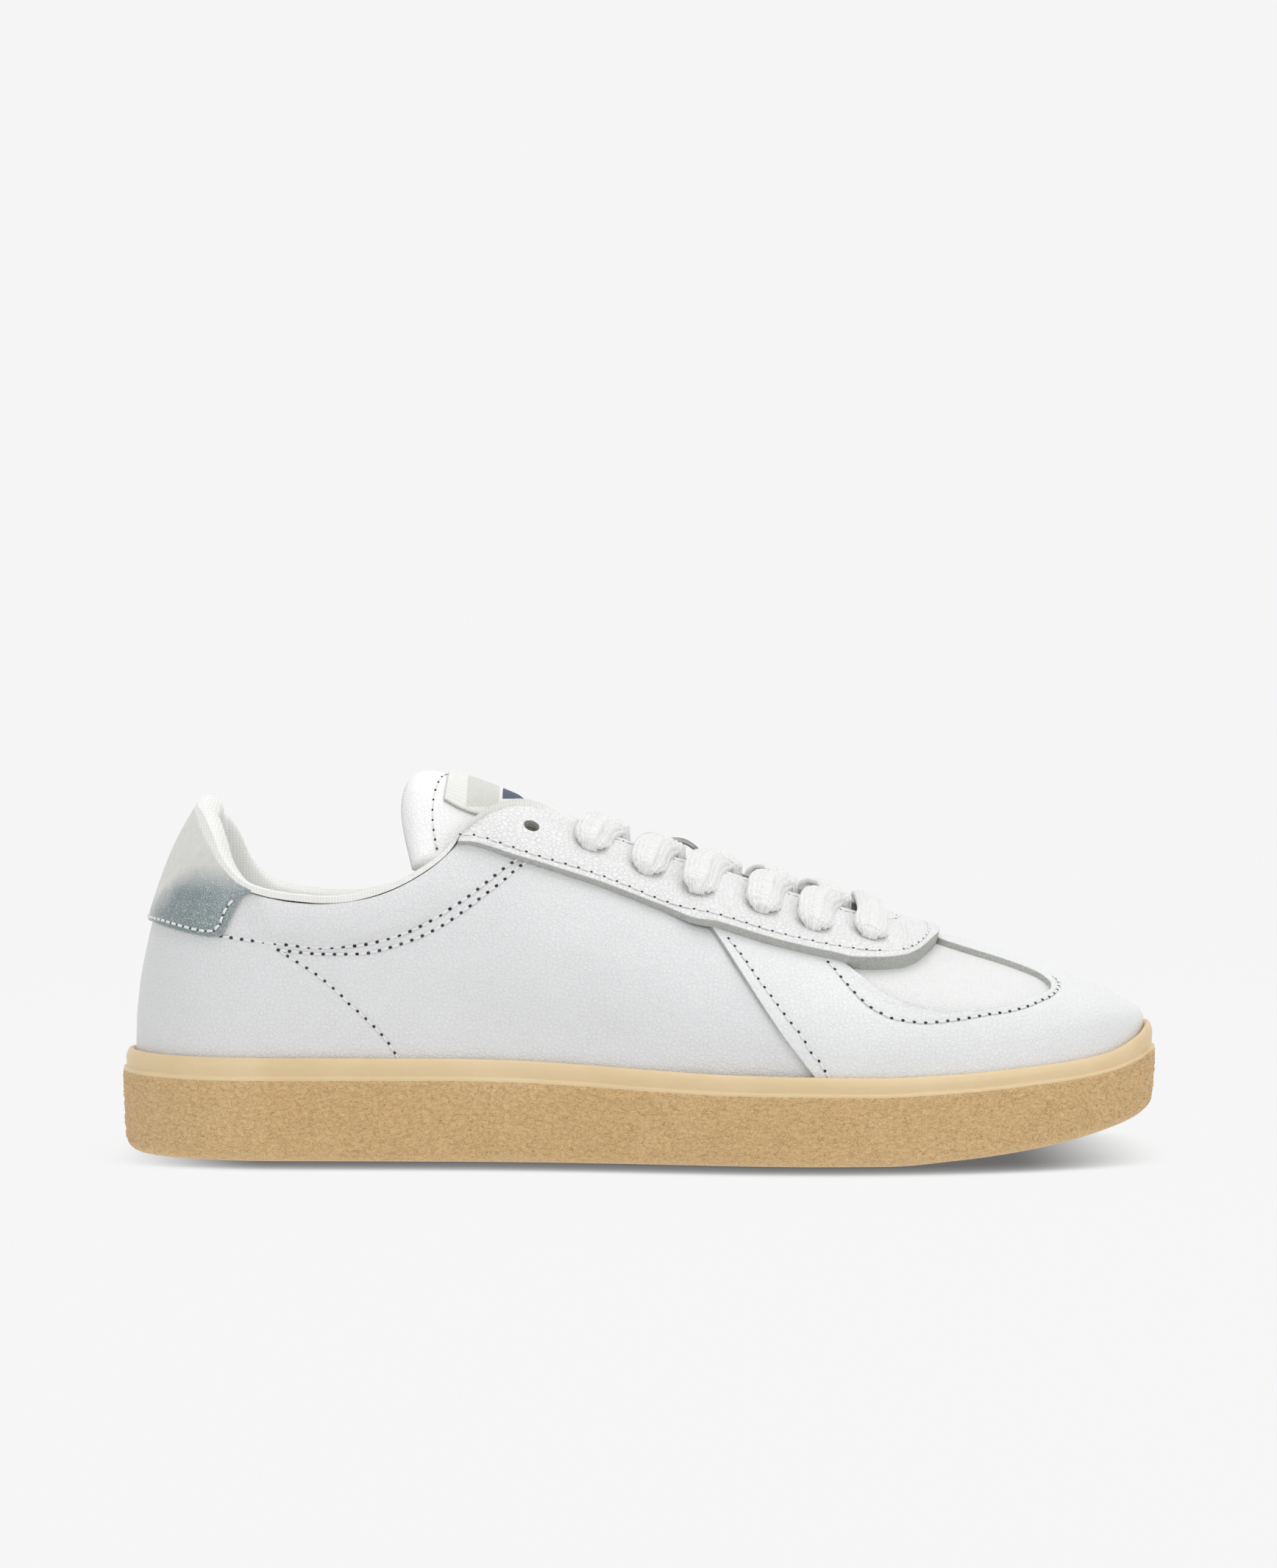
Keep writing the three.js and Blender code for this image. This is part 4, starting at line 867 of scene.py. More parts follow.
# ---- Pattern lines of the upper: {x: w} or (x, w) ----
COLLAR_TOP = {
    -147: .537, -146.6: .55, -139: .587, -129.5: .646, -124.8: .685, -116.5: .734,
    -111: .752, -103.3: .762, -97.6: .764, -92.4: .763, -87.2: .757, -82: .745, -76.8: .725,
    -71.6: .698, -66.4: .662, -61.3: .616, -56.2: .557, -53.1: .505, -50.8: .455,
    -47.5: .40, -43.5: .325, -40: .27, -36.5: .215, -33: .18, -28: .15}
top_w = Curve(COLLAR_TOP)
THROAT = [
    (-28, -.15), (-20, -.135), (0, -.135), (30, -.15), (55, -.19), (64, -.2), (69, -.18),
    (71.8, -.14), (72.3, -.1), (71.8, -.06), (69, -.02), (64, 0.0), (55, .03), (30, .1),
    (0, .135), (-20, .135), (-28, .15)]
STAY_LOW = [
    (-51.8, -.491), (-47.8, -.48), (-42.5, -.479), (-36.5, -.483), (-24.6, -.479),
    (-11, -.478), (2.2, -.494), (8.9, -.504), (15.5, -.524), (22.1, -.517), (29.1, -.521),
    (39, -.534), (48.3, -.542), (54.9, -.544), (58.9, -.55), (65.6, -.534), (72.5, -.506),
    (76.7, -.472), (80.4, -.412), (83.7, -.315), (86.2, -.22), (87.6, -.12), (87.8, -.04),
    (87, .06), (84.6, .17), (81.2, .27), (76.7, .36), (72.5, .41), (65.6, .46), (58.9, .49),
    (48, .51), (29, .51), (2, .494), (-24.6, .479), (-42.5, .479), (-51.8, .491)]
stay_rear = [(x, w) for x, w in COLLAR_TOP.items() if x >= -51]
STAY_IN = flip(stay_rear) + THROAT[1:-1] + stay_rear[::-1]
# x of the overlay's rear edge, by |w|
REAR_X = Curve({
    .5: 19.5, .534: 22.3, .596: 25.9, .678: 29.2, .749: 32.5, .815: 35.7, .878: 38.9,
    .939: 42.2, 1.033: 45.4, 1.191: 48.3, 1.275: 50.2, 2: 62})
# Lace holes from the collar to the toe
EYES_LATERAL = [(-31.5, -.315), (-14.5, -.30), (2, -.332), (18, -.342), (35, -.342),
                (51, -.37), (66.5, -.35)]
EYES_MEDIAL = [(-31.5, .315), (-14.5, .30), (2, .33), (18, .335), (35, .31), (51, .27),
               (66.5, .2)]


def stay_inner(x):
    """Depth of the eyestay's underside; it climbs onto the toe overlay."""
    return lerp(.4, 2.25, ease(8, 22, x))


def stay_outer(x):
    return stay_inner(x) + 2.25


def throat_centre(x):
    return -.1 * ease(20, 70, x)


# ---- Quarters ----
COLLAR_ROW = lateral([
    (-120.4, .142), (-112.5, .135), (-101.7, .128), (-90.7, .125), (-84.1, .133),
    (-77.6, .145), (-71.4, .167), (-65.2, .196), (-59.2, .235), (-53.4, .283),
    (-48.2, .334), (-42.7, .403), (-36.5, .494), (-33.6, .535)])
UPPER_COLLAR_ROW = lateral([
    (-102.1, .114), (-92.2, .11), (-82.6, .116), (-76.4, .125), (-69.7, .149),
    (-63.1, .18), (-56.6, .221), (-50.7, .272), (-45.1, .334), (-38.3, .421),
    (-33.8, .497), (-31.2, .535)])
COUNTER_ROW = lateral([
    (-102.1, .114), (-96.6, .088), (-91.3, .062), (-85.9, .027), (-83.6, .008),
    (-80.9, -.048), (-78.6, -.111), (-76.1, -.181), (-73.6, -.258), (-71.3, -.339),
    (-69.4, -.427), (-68.2, -.492), (-67.4, -.54)])
pad_line = Curve({x: -w for x, w in COLLAR_ROW})


def quarter_pad(x, w):
    """Swelling of the padded strip between the collar row and the top line."""
    row = pad_line(np.maximum(x, -120))
    t = np.clip((row - np.abs(w)) / np.maximum(row - top_w(x), .05), 0, 1)
    swell = 1.5 * np.sin(math.pi * (.04 + .93 * t)) ** .65 * (t > 0) * ease(0, .12, t)
    return swell * ease(-113, -103, x) * (1 - ease(-60, -44, x))


def quarter_grid(side):
    heel = HEEL_X + .003
    rear = (-146.2, -143, -137, -128, -117, -105, -90, -75)
    lower = Path([(x, side * 2) for x in
                  (heel, *rear, -60, -45, -30, -15, 0, 15, 30, 45, 58, 70)], smooth=False)
    top = [(heel, side * top_w(heel))]
    top += [(x, side * (top_w(x) + .004)) for x in (*rear, -66, -58, -53, -50)]
    top += [(x, side * w) for x, w in ((-42, .42), (-36, .43), (-25, .435), (-11, .435),
                                       (2, .44), (15, .445), (28, .45))]
    along = spaced(count(300), 230, end=False)
    up = spaced(count(84), 72, start=False)
    low, high = lower.at(along), Path(top).at(along)
    high_w = np.abs(high[:, 1])[:, None]
    w = lerp(2.0, high_w, up[None])
    straight = lerp(low[:, :1], high[:, :1], up[None])
    k = ease(0, 1, (w - 1) / (high_w - 1))
    # the front edge follows the overlay's rear edge, 8 mm ahead of it
    front = REAR_X(w) + 8 - (REAR_X(high_w) + 8 - high[:, :1]) * k
    return np.stack([lerp(straight, front, ease(.55, 1, along)[:, None]), side * w], -1)


for name, side in (("quarter_lateral", -1), ("quarter_medial", 1)):
    collar_row, upper_row, counter_row = [
        row if side < 0 else flip(row) for row in (COLLAR_ROW, UPPER_COLLAR_ROW, COUNTER_ROW)]
    grooves = [
        seams.stitch(collar_row, -.1, sink=.34, width=.9, pitch=3.2, hole=.6),
        seams.stitch(upper_row, lambda x, w: quarter_pad(x, w) - .08, sink=.3, width=.8,
                     pitch=3.2, hole=.58),
        seams.stitch(counter_row, -.06, sink=.22, width=.7, radius=.3, hole=.5)]
    put(shell(name + "_leather", [quarter_grid(side)], quarter_pad, -1.2, [QUARTER_LEATHER_PAINTED_DARKER, RAW_EDGE],
              rounding=.5, grooves=grooves, noise=.10), "shoe", "white_leather", name)

# ---- Toe box panel ----
PANEL_OUT = [
    (54, -.84), (62, -.87), (75, -.885), (90, -.88), (104, -.84), (114, -.75), (121, -.6),
    (123.5, -.42), (121.5, -.2), (116, -.06), (108, .04), (98, .09), (88, .15), (82, .28),
    (74, .42), (64, .52), (52, .57), (40, .6)]
PANEL_IN = [
    (35, -.45), (45, -.46), (55, -.45), (66, -.42), (72, -.36), (75.5, -.28), (77, -.16),
    (77.2, -.06), (76, .06), (73, .16), (67, .26), (58, .34), (47, .4), (35, .43)]
put(shell("toe_box_leather", [ruled(PANEL_OUT, PANEL_IN, count(190), count(44))], -.35, -1.55,
          [TOE_LEATHER, RAW_EDGE], noise=.12), "shoe", "white_leather", "toe_box_panel")

# ---- Toe overlay, with a window over the toe box ----
WINDOW_LATERAL = [
    (20, -.5), (30, -.47), (45, -.47), (54, -.50), (55.8, -.523), (57.3, -.575),
    (59.6, -.63), (62.2, -.675), (65.2, -.715), (68.2, -.745), (71.9, -.77), (75.4, -.783),
    (79.9, -.794), (86.1, -.792), (92.5, -.772), (98.9, -.746), (105, -.716),
    (110.6, -.661), (115, -.593), (117.8, -.52), (118.6, -.42)]
WINDOW_MEDIAL = [
    (20, .5), (40, .42), (60, .34), (72, .24), (80, .1), (84, -.03), (88, -.12), (94, -.15),
    (101, -.17), (108, -.2), (113, -.25), (116.6, -.32), (118.6, -.42)]
REAR_ROW = [
    (25.3, -.549), (29.7, -.624), (33.6, -.703), (37.8, -.78), (41.7, -.856), (45.8, -.933),
    (49.7, -1.07), (51.8, -1.207), (53.6, -1.33)]
WINDOW_ROW = lateral([
    (53.4, .439), (55.6, .40), (57.5, .358), (59.4, .325), (61.1, .293), (63.3, .26),
    (65.4, .234), (67.7, .215), (70.5, .194), (73.7, .184), (79.9, .171), (86, .179),
    (92.4, .196), (98.9, .221), (104.8, .242), (110.4, .285), (114.9, .348), (117.5, .393),
    (119.7, .474)]) + [(121, -.44), (121, -.37), (119.8, -.3)]


def overlay_depth(x, w, face=1.6):
    """The overlay's face, raised ahead of the lacing on the medial side."""
    return face + (1.1 * ease(-.16, .02, w) * (1 - ease(.1, .55, w)) * ease(80, 96, x)
                   * (1 - ease(118, 134, x)))


grooves = [seams.stitch(row, 1.52, sink=.24, width=.7, hole=.46)
           for row in (REAR_ROW, flip(REAR_ROW))]
grooves.append(seams.stitch(WINDOW_ROW, lambda x, w: overlay_depth(x, w, face=1.5), sink=.32,
                            width=.75, pitch=3.2, hole=.54))
halves = [toe_half(side, 62, 18.5, line, count(170), count(26), count(52))
          for side, line in ((-1, WINDOW_LATERAL), (1, WINDOW_MEDIAL))]
put(shell("toe_overlay_leather", halves, overlay_depth,
          lambda x, w: np.where(x < REAR_X(np.abs(w)) + 9.5, .06, -.28),
          [OVERLAY_LEATHER, RAW_EDGE], rounding=.22, grooves=grooves, noise=.10),
    "shoe", "white_leather", "toe_overlay")

# ---- Eyestay ----
STAY_ROW = lateral([
    (-51.2, .538), (-47.3, .549), (-43.7, .55), (-35.8, .546), (-28.4, .545),
    (-16.9, .553), (-5.9, .546), (4.8, .526), (15.9, .518), (27.1, .517), (37.5, .502),
    (48.4, .495), (58.4, .496), (65.8, .507), (74, .538), (79.2, .61), (82.5, .715),
    (84.1, .852)]) + [
    (84.3, -.04), (83.6, .06), (81.2, .165), (78, .25), (73.5, .335), (69.8, .375),
    (64, .42), (58, .45), (48, .472), (29, .474), (2, .458), (-24.6, .443), (-42.5, .443),
    (-51.2, .455)]
THROAT_ROW = [
    (-9, -.167), (-2, -.165), (11, -.17), (28, -.185), (43, -.205), (57, -.228),
    (64, -.235), (70, -.215), (74.2, -.165), (75.2, -.1), (74.2, -.03), (70, .018),
    (64, .035), (55, .065), (30, .133), (0, .168), (-9, .168)]
window_outline = np.vstack([spline(WINDOW_LATERAL), spline(WINDOW_MEDIAL)[::-1]]) * [1, W_SCALE]


def in_window(x, w):
    """1 well inside the toe window, 0 outside it, blended over its edge."""
    q = np.stack([x, w * W_SCALE], -1)
    inside = np.zeros(len(q), bool)
    closest = np.full(len(q), 1e9)
    for a, b in zip(window_outline, np.roll(window_outline, -1, axis=0)):
        crossed = (a[1] > q[:, 1]) != (b[1] > q[:, 1])
        if crossed.any():
            at_x = (b[0] - a[0]) * (q[crossed, 1] - a[1]) / (b[1] - a[1]) + a[0]
            inside[crossed] ^= q[crossed, 0] < at_x
        edge = b - a
        t = np.clip(((q - a) @ edge) / max(float(edge @ edge), 1e-9), 0, 1)
        closest = np.minimum(closest, np.linalg.norm(q - a - t[:, None] * edge, axis=1))
    return np.where(inside, np.clip((closest - .3) / 1.2, 0, 1), 0.0)


def stay_under(x, w):
    """The underside rests on the quarter, then the overlay, and dips into the window."""
    rest = lerp(.06, 1.66, ease(8, 22, x))
    rough = .12 * value_noise(np.stack([x, w * W_SCALE, 0 * x], -1), 1.2, 61)
    return lerp(rest, -.3, in_window(x, w) * ease(50, 56, x)) + rough


def cutter(x, w, radius, reach=7.0, around=28):
    """A cylinder through the surface at (x, w)."""
    a, b = point(x, w, reach), point(x, w, -reach)
    axis = (b - a) / np.linalg.norm(b - a)
    u = np.cross(axis, [0, 0, 1.])
    u /= np.linalg.norm(u)
    cos, sin = circle(around)
    ring = radius * (u * cos + np.cross(axis, u) * sin)
    faces = [f[::-1] for f in tube_faces(2, around)]
    return outward(new_object("cutter", np.vstack([a + ring, b + ring]), faces, [RAW_EDGE],
                              sharp=None))


def apply_modifiers(obj):
    bpy.context.view_layer.update()
    graph = bpy.context.evaluated_depsgraph_get()
    mesh = bpy.data.meshes.new_from_object(obj.evaluated_get(graph),
                                           preserve_all_data_layers=True, depsgraph=graph)
    obj.modifiers.clear()
    old, obj.data = obj.data, mesh
    bpy.data.meshes.remove(old)


def punch(obj, eyes, radius):
    """Cut the lace holes; the fast solver steps in when the exact one cuts nothing."""
    for x, w in eyes:
        before = len(obj.data.vertices)
        for solver in ("EXACT", "FAST"):
            tool = cutter(x, w, radius)
            cut = obj.modifiers.new("holes", "BOOLEAN")
            cut.operation = "DIFFERENCE"
            cut.object = tool
            cut.solver = solver
            if solver == "EXACT":
                cut.use_hole_tolerant = True
            apply_modifiers(obj)
            bpy.data.objects.remove(tool)
            if abs(len(obj.data.vertices) - before) > 8:
                break
    obj.data.set_sharp_from_angle(angle=math.radians(35))
    return obj


def stay_seam(x, w):
    return stay_outer(x) - .1


grooves = [seams.stitch(STAY_ROW, stay_seam, sink=.28, width=.75, pitch=3.9),
           seams.stitch(THROAT_ROW, stay_seam, sink=.22, width=.7, pitch=3.9, radius=.3,
                        hole=.3)]
# two short dense rows across the lateral front
for x in (75.0, 76.4):
    grooves.append(seams.stitch([(x, -.45), (x + .4, -.33), (x + .6, -.2)], stay_seam,
                                sink=.15, width=.8, pitch=1.9, radius=.32, gap=.2, hole=0))
stay = shell("eyestay_leather", [ruled(STAY_LOW, STAY_IN, count(430), count(26))],
             lambda x, w: stay_outer(x), stay_under, [STAY_LEATHER, RAW_EDGE],
             rounding=.22, grooves=grooves, noise=.16)
put(punch(stay, EYES_LATERAL + EYES_MEDIAL, radius=2.35), "shoe", "stay_leather", "eyestay")

# ---- Heel tab ----
TAB_LOW = [
    (-147, .834), (-145, .834), (-141.4, .839), (-135.7, .847), (-129.2, .856),
    (-124.3, .86), (-120.1, .859), (-118.3, .83), (-117, .804), (-115.7, .779),
    (-114, .762), (-112, .756)]
TAB_TOP = [(x, w - .002) for x, w in (
    (-147, .537), (-145, .552), (-141, .572), (-135, .61), (-129.5, .646), (-124.8, .685),
    (-120, .715), (-116.5, .734), (-113, .746), (-111.3, .752))]
TAB_ROW = lateral([
    (-146.9, .176), (-139.7, .17), (-133.1, .161), (-127, .153), (-123.3, .151),
    (-121.5, .155), (-120.3, .168), (-119.9, .185), (-119, .203), (-118.3, .216),
    (-117, .226)])
tab_grid = ruled(Path(flip(TAB_LOW), smooth=False), Path(flip(TAB_TOP), smooth=False),
                 count(90), count(44), end=True)
grooves = [seams.stitch(row, 1.5, sink=.3, width=.7, pitch=2.6, radius=.42, hole=.3)
           for row in (TAB_ROW, flip(TAB_ROW))]
put(shell("heel_tab_leather", [tab_grid, tab_grid * [1, -1]], 1.6, .4,
          [TAB_LEATHER, RAW_EDGE], grooves=grooves, noise=.06),
    "shoe", "tab_leather", "heel_tab")

# ---- Collar lining, padding and vamp lining ----
LINING_DEPTH, LINING = 3.5, .8      # depth of the cloth's leather side; its thickness
LINING_BACK = LINING_DEPTH + LINING
PAD_DEPTH = 2.5
LINING_HOLE = 2.6
# |w| of the padding's lower edge, by x
PAD_LOW = Curve({
    -147: .85, -120.4: .858, -109.3: .866, -94.3: .874, -84.1: .867, -74.5: .848,
    -65.2: .806, -59.2: .768, -53.4: .722, -48.2: .67})


def pad_thickness(x, w):
    low = PAD_LOW(x)
    t = np.clip((low - np.abs(w)) / (low - top_w(x)), 0, 1)
    shape = .22 + .78 * np.sin(math.pi * np.clip(.08 + .84 * t, 0, 1)) ** .6
    return (5.0 * ease(-48, -72, x) + .7) * shape


def lining_section(x, side):
    """(|w|, depth below the surface) of the cloth's leather and foot faces at one station.

    Both run from the lower edge up and over the top line.
    """
    top = float(top_w(x))
    unit = float(w_step(x, side * top, 1.0))

    def deep(w):
        padding = 0 if x > -44 else PAD_DEPTH + float(pad_thickness(x, w)) + .5
        return max(LINING_DEPTH, padding)
    levels = (2, 1.75, 1.5, 1.3, 1.15, 1.02, .95)
    leather_face = [(w, LINING_DEPTH) for w in levels]
    foot_face = [(w, LINING_BACK) for w in levels]
    for j in range(6):
        w = lerp(min(float(PAD_LOW(x)), .93), top + unit * 1.6, (j + .5) / 6)
        leather_face.append((w, deep(w)))
        foot_face.append((w, deep(w) + LINING))
    deep_top = deep(top)
    stay = float(stay_outer(x))
    roll = float(ease(-16.6, -18.6, x))             # the roll starts behind the front end
    high = 1 + 1.25 * float(ease(-112, -134, x))    # higher over the heel
    lip = .6 + 1.0 * float(ease(-107, -113, x))
    up = float(ease(-54.5, -49.5, x))               # onto the eyestay
    crest = lerp(1.75, .45, float(ease(-34, -19, x)))
    inner = max(deep_top * .72, LINING_DEPTH)
    # leather face and foot face: mm from the top line, depth
    for a, depth_a, b, depth_b in (
            (1.0, lerp(3.5, deep_top, .95), -.6, 4.3 + (deep_top - 3.5) * .95),
            (.75, inner, -1.7 * high, inner + .35),
            (.5, lerp(1.6 - lip * .4, -.9, up),
             lerp(-2.1 * high, -1.9, up), lerp(1.6 - lip * .6, -stay * .9, up)),
            (lerp(1.15, .85, up), lerp(.15 - lip, .1 - stay, up),
             lerp(-1.45 * high, -1.0, up), lerp(-lip, -crest - stay, up))):
        leather_face.append((top + unit * lerp(1.0, a - .8, roll),
                             lerp(LINING_DEPTH, depth_a, roll)))
        foot_face.append((top + unit * lerp(.6, b, roll), lerp(LINING_BACK, depth_b, roll)))
    return leather_face, foot_face


def heel_stations(n, *rest):
    """Stations closing up towards the heel, then the rest."""
    turn = np.cos(np.linspace(0, math.pi / 2, count(n)))
    return np.unique(np.concatenate(
        [HEEL_X + (HEEL_CAP_X - HEEL_X) * (1 - turn), *rest]))


def collar_lining():
    stations = heel_stations(54, np.arange(-100, -44, 1.1 / DENSITY),
                             np.arange(-44, -16.5, 1.2 / DENSITY), [-16.5])
    starts, verts, faces = {}, [], []
    for side in (-1, 1):
        for i, x in enumerate(stations):
            if i == 0 and side == 1:
                starts[side, 0] = starts[-1, 0]     # both sides share the heel's section
                continue
            a, b = (catmull(face, 4) for face in lining_section(x, side))
            w, depth = np.vstack([a, b[::-1]]).T
            creases = value_noise(np.stack([np.full(len(w), x), w * 40, depth], -1),
                                  7.0, 5) * .12
            starts[side, i] = len(verts)
            verts.extend(point(x, side * w, -(depth + creases)))
            around = len(w)
    for side in (-1, 1):
        for i in range(len(stations) - 1):
            a, b = starts[side, i], starts[side, i + 1]
            for j in range(around):
                k = (j + 1) % around
                face = [a + j, b + j, b + k, a + k]
                faces.append(face if side < 0 else face[::-1])
    # close the front ends
    for side in (-1, 1):
        a = starts[side, len(stations) - 1]
        for j in range(around // 2 - 1):
            face = [a + j, a + around - 1 - j, a + around - 2 - j, a + j + 1]
            faces.append(face if side < 0 else face[::-1])
    return outward(new_object("collar_lining_rolled", np.array(verts), faces, [LINING_CLOTH],
                              sharp=50))


put(punch(collar_lining(), [EYES_LATERAL[0], EYES_MEDIAL[0]], LINING_HOLE),
    "shoe", "textile_lining", "collar_lining")


def pad_grid(side):
    x = heel_stations(34, np.arange(-100, -49.5, 1.6 / DENSITY), [-49.5])
    high = top_w(x) + w_step(x, side * top_w(x), 1.6)
    w = side * lerp(PAD_LOW(x)[:, None], high[:, None], np.linspace(0, 1, 17))
    return np.stack([np.broadcast_to(x[:, None], w.shape), w], -1)


put(shell("collar_padding", [pad_grid(-1), pad_grid(1)], -PAD_DEPTH,
          lambda x, w: -PAD_DEPTH - pad_thickness(x, w), [FOAM, FOAM], rounding=.01),
    "shoe", "collar_foam", "collar_foam")

VAMP_LATERAL = [(-19.5, -.175), (0, -.17), (30, -.19), (55, -.23), (64, -.24), (71, -.22),
                (75, -.16), (76, -.1)]
VAMP_MEDIAL = [(-19.5, .175), (0, .17), (30, .14), (55, .07), (64, .04), (71, .02),
               (75, -.04), (76, -.1)]
halves = [toe_half(side, -19.5, 0, line, count(90), 8, 24)
          for side, line in ((-1, VAMP_LATERAL), (1, VAMP_MEDIAL))]
vamp_lining = shell("vamp_lining_cloth", halves, -LINING_DEPTH, -LINING_BACK,
                    [LINING_CLOTH, LINING_CLOTH], rounding=.2)
put(punch(vamp_lining, EYES_LATERAL[1:] + EYES_MEDIAL[1:], LINING_HOLE),
    "shoe", "textile_lining", "vamp_lining")

# ---- Tongue ----
TONGUE_X = -63
TONGUE_MARGINS = (.3, .7, 1.2, 1.8, 2.5, 3.3)
TONGUE_ROUNDING = 4.3
TONGUE_THICKNESS = 8.4
tongue_width = Curve({-68: .53, -64: .57, -56: .56, -50: .48, -44: .43, -30: .41, 0: .38,
                      40: .31, 64: .19, 75: .13})   # half width in w


def tongue_depth(x, w):
    """Under the eyestay at the front, crowned up between its edges at the rear."""
    sunk_by = 8.4 - 2 * ease(-44, -56, x)
    crown = lerp(.15, .50, ease(-26, -52, x))
    t = ease(0, 1, (np.abs(w - throat_centre(x)) - crown * .2) / (crown * .8))
    return -sunk_by + (sunk_by + .9) * ease(-19, -37, x) * (1 - t)


def tongue_face(x, w):
    return tongue_depth(x, w) + .5 * ease(-34, -50, x)


def tongue_end(x, q):
    """Rear outline; q runs from -1 to 1 across."""
    return x - .6 - 3.5 * np.sin(math.pi * np.abs(q)) - .8 * np.abs(q) ** 4


def tongue_grid(rear, front, inset, n, m):
    along = spaced(n, 130, end=False, margins=TONGUE_MARGINS)
    q = spaced(m, 50, margins=TONGUE_MARGINS) * 2 - 1
    x = lerp(tongue_end(rear, q)[None], front, along[:, None])
    return np.stack([x, throat_centre(x) + q[None] * (tongue_width(x) - inset)], -1)


def tongue_sheet(name, face, thickness, materials, up, grooves=(), puff=None):
    """A sheet whose rim curls round the padding; up is 1 for the top face, -1 for the foot's."""
    x, w, faces = weld_grids([tongue_grid(TONGUE_X, 70, 0, count(120), count(56))])
    rim = boundary(faces)
    flat = point(x, w, face(x, w))
    edge = rim_distance(rim, flat, (0, .5))
    depth = face(x, w) - up * (round_off(edge, TONGUE_ROUNDING) + sunk(grooves, flat))
    if puff:
        depth += puff(x, flat, edge)
    back = depth - up * thickness * np.clip(.25 + edge / 2, 0, 1)
    n = len(x)
    all_faces = (faces + [[n + i for i in reversed(f)] for f in faces]
                 + [[j, i, n + i, n + j] for i, j in rim])
    if up < 0:
        all_faces = [f[::-1] for f in all_faces]
    slots = [0] * len(faces) + [1] * (len(faces) + len(rim))
    return outward(new_object(name, np.vstack([point(x, w, depth), point(x, w, back)]),
                              all_faces, materials, slots, sharp=50))


def tongue_puff(x, places, edge):
    return (.5 * np.clip(edge / 9, 0, 1) * ease(-34, -50, x)
            + .12 * value_noise(places, 8, 11))


q = np.linspace(-.86, .86, 24)
row_x = tongue_end(TONGUE_X, q) + 8.2
tongue_row = list(zip(row_x, throat_centre(row_x) + q * tongue_width(row_x)))
grooves = [tongue_seams.stitch(tongue_row, lambda x, w: tongue_face(x, w) - .05, sink=.3,
                               width=.8, pitch=3.2, radius=.3, hole=.44)]
put(tongue_sheet("tongue_leather", tongue_depth, 1.1, [TONGUE_LEATHER_PAINTED_LIGHTER, FLESH], 1, grooves,
                 tongue_puff), "tongue", "white_leather", "tongue_outer")
put(tongue_sheet("tongue_lining_cloth", lambda x, w: tongue_depth(x, w) - TONGUE_THICKNESS,
                 LINING, [LINING_CLOTH, LINING_CLOTH], -1),
    "tongue", "textile_lining", "tongue_lining")
put(shell("tongue_padding", [tongue_grid(-60.5, 66, .035, count(60), count(30))],
          lambda x, w: tongue_depth(x, w) - 1.7,
          lambda x, w: tongue_depth(x, w) - 4.2 - 3.0 * ease(70, 40, x), [FOAM, FOAM],
          rounding=1.2), "tongue", "collar_foam", "tongue_foam")
LABEL_SIDE = [(-56, -.27), (-51, -.285), (-46, -.27), (-40, -.21), (-34, -.14), (-31, -.10)]
put(shell("tongue_label_patch",
          [ruled(LABEL_SIDE, flip(LABEL_SIDE), count(60), count(60), start=True, end=True)],
          lambda x, w: tongue_face(x, w) + 1.35, lambda x, w: tongue_face(x, w) + .12,
          [LABEL, RAW_EDGE], rounding=.3, noise=.1), "tongue", "label", "tongue_label")
put(tongue_seams.threads.make("tongue_stitches", THREAD), "tongue", "lace")
# dark discs of painted shade at the tongue's needle holes
put(tongue_seams.holes.make("tongue_needle_hole_shade_discs", HOLE_SHADE), "tongue", "lace")

# ---- Cup sole ----
# Heights of the band's top and the ground, by x
BAND_Z = Curve({
    -151: 30.5, -140: 29.9, -120: 29.6, -57: 29.6, -35: 29.2, -14: 28.1, 6.6: 26.75,
    27: 25.8, 47.5: 25.45, 68: 25.2, 88.5: 25.9, 109: 27.35, 132.5: 30, 145: 34.7,
    149: 37.5, 152: 38.5})
GROUND_Z = Curve({-152: 0, 70: 0, 88: 1.2, 99: 2.2, 109: 3.4, 120: 5, 132: 7.4, 140: 9.2,
                  151: 12})
CUP_OUTSET = Curve({-150: .9, -10: .7, 45: 2.2, 150: 2.2})
BAND_SCALE = Curve({-152: 1.0, -100: .97, 0: .91, 60: .83, 110: .79, 132: .82, 143: 1.02,
                    151: 1.38})
CUP_WALL = 2.7
# Lower corner: (offset, height above the ground)
CORNER = [(-7.5, 0), (-5.6, .10), (-4.0, .42), (-2.75, 1.1), (-1.8, 2.1), (-1.15, 3.4),
          (-.75, 5.0)]
# Smooth band at the top: (offset, height from the band's top before BAND_SCALE)
BAND = [
    (.02, -5.75), (-.06, -5.55), (-.24, -5.46), (-.50, -5.42), (-.72, -5.24), (-.80, -4.85),
    (-.74, -4.1), (-.66, -3.3), (-.66, -2.5), (-.82, -1.7), (-1.1, -1.0), (-1.45, -.42),
    (-1.75, -.1), (-2.1, 0), (-2.6, -.1), (-3.05, -.5), (-3.4, -1.3)]
# Inside of the cup: (offset, height above the ground)
CUP_INSIDE = [(-3.45, 5.6), (-3.7, 5.0)]
WALL_SLOT, BAND_SLOT = 0, 1


def band_v(x):
    return -(WIDEST_Z(x) - BAND_Z(x)) / (WIDEST_Z(x) - LOWER_Z(x))


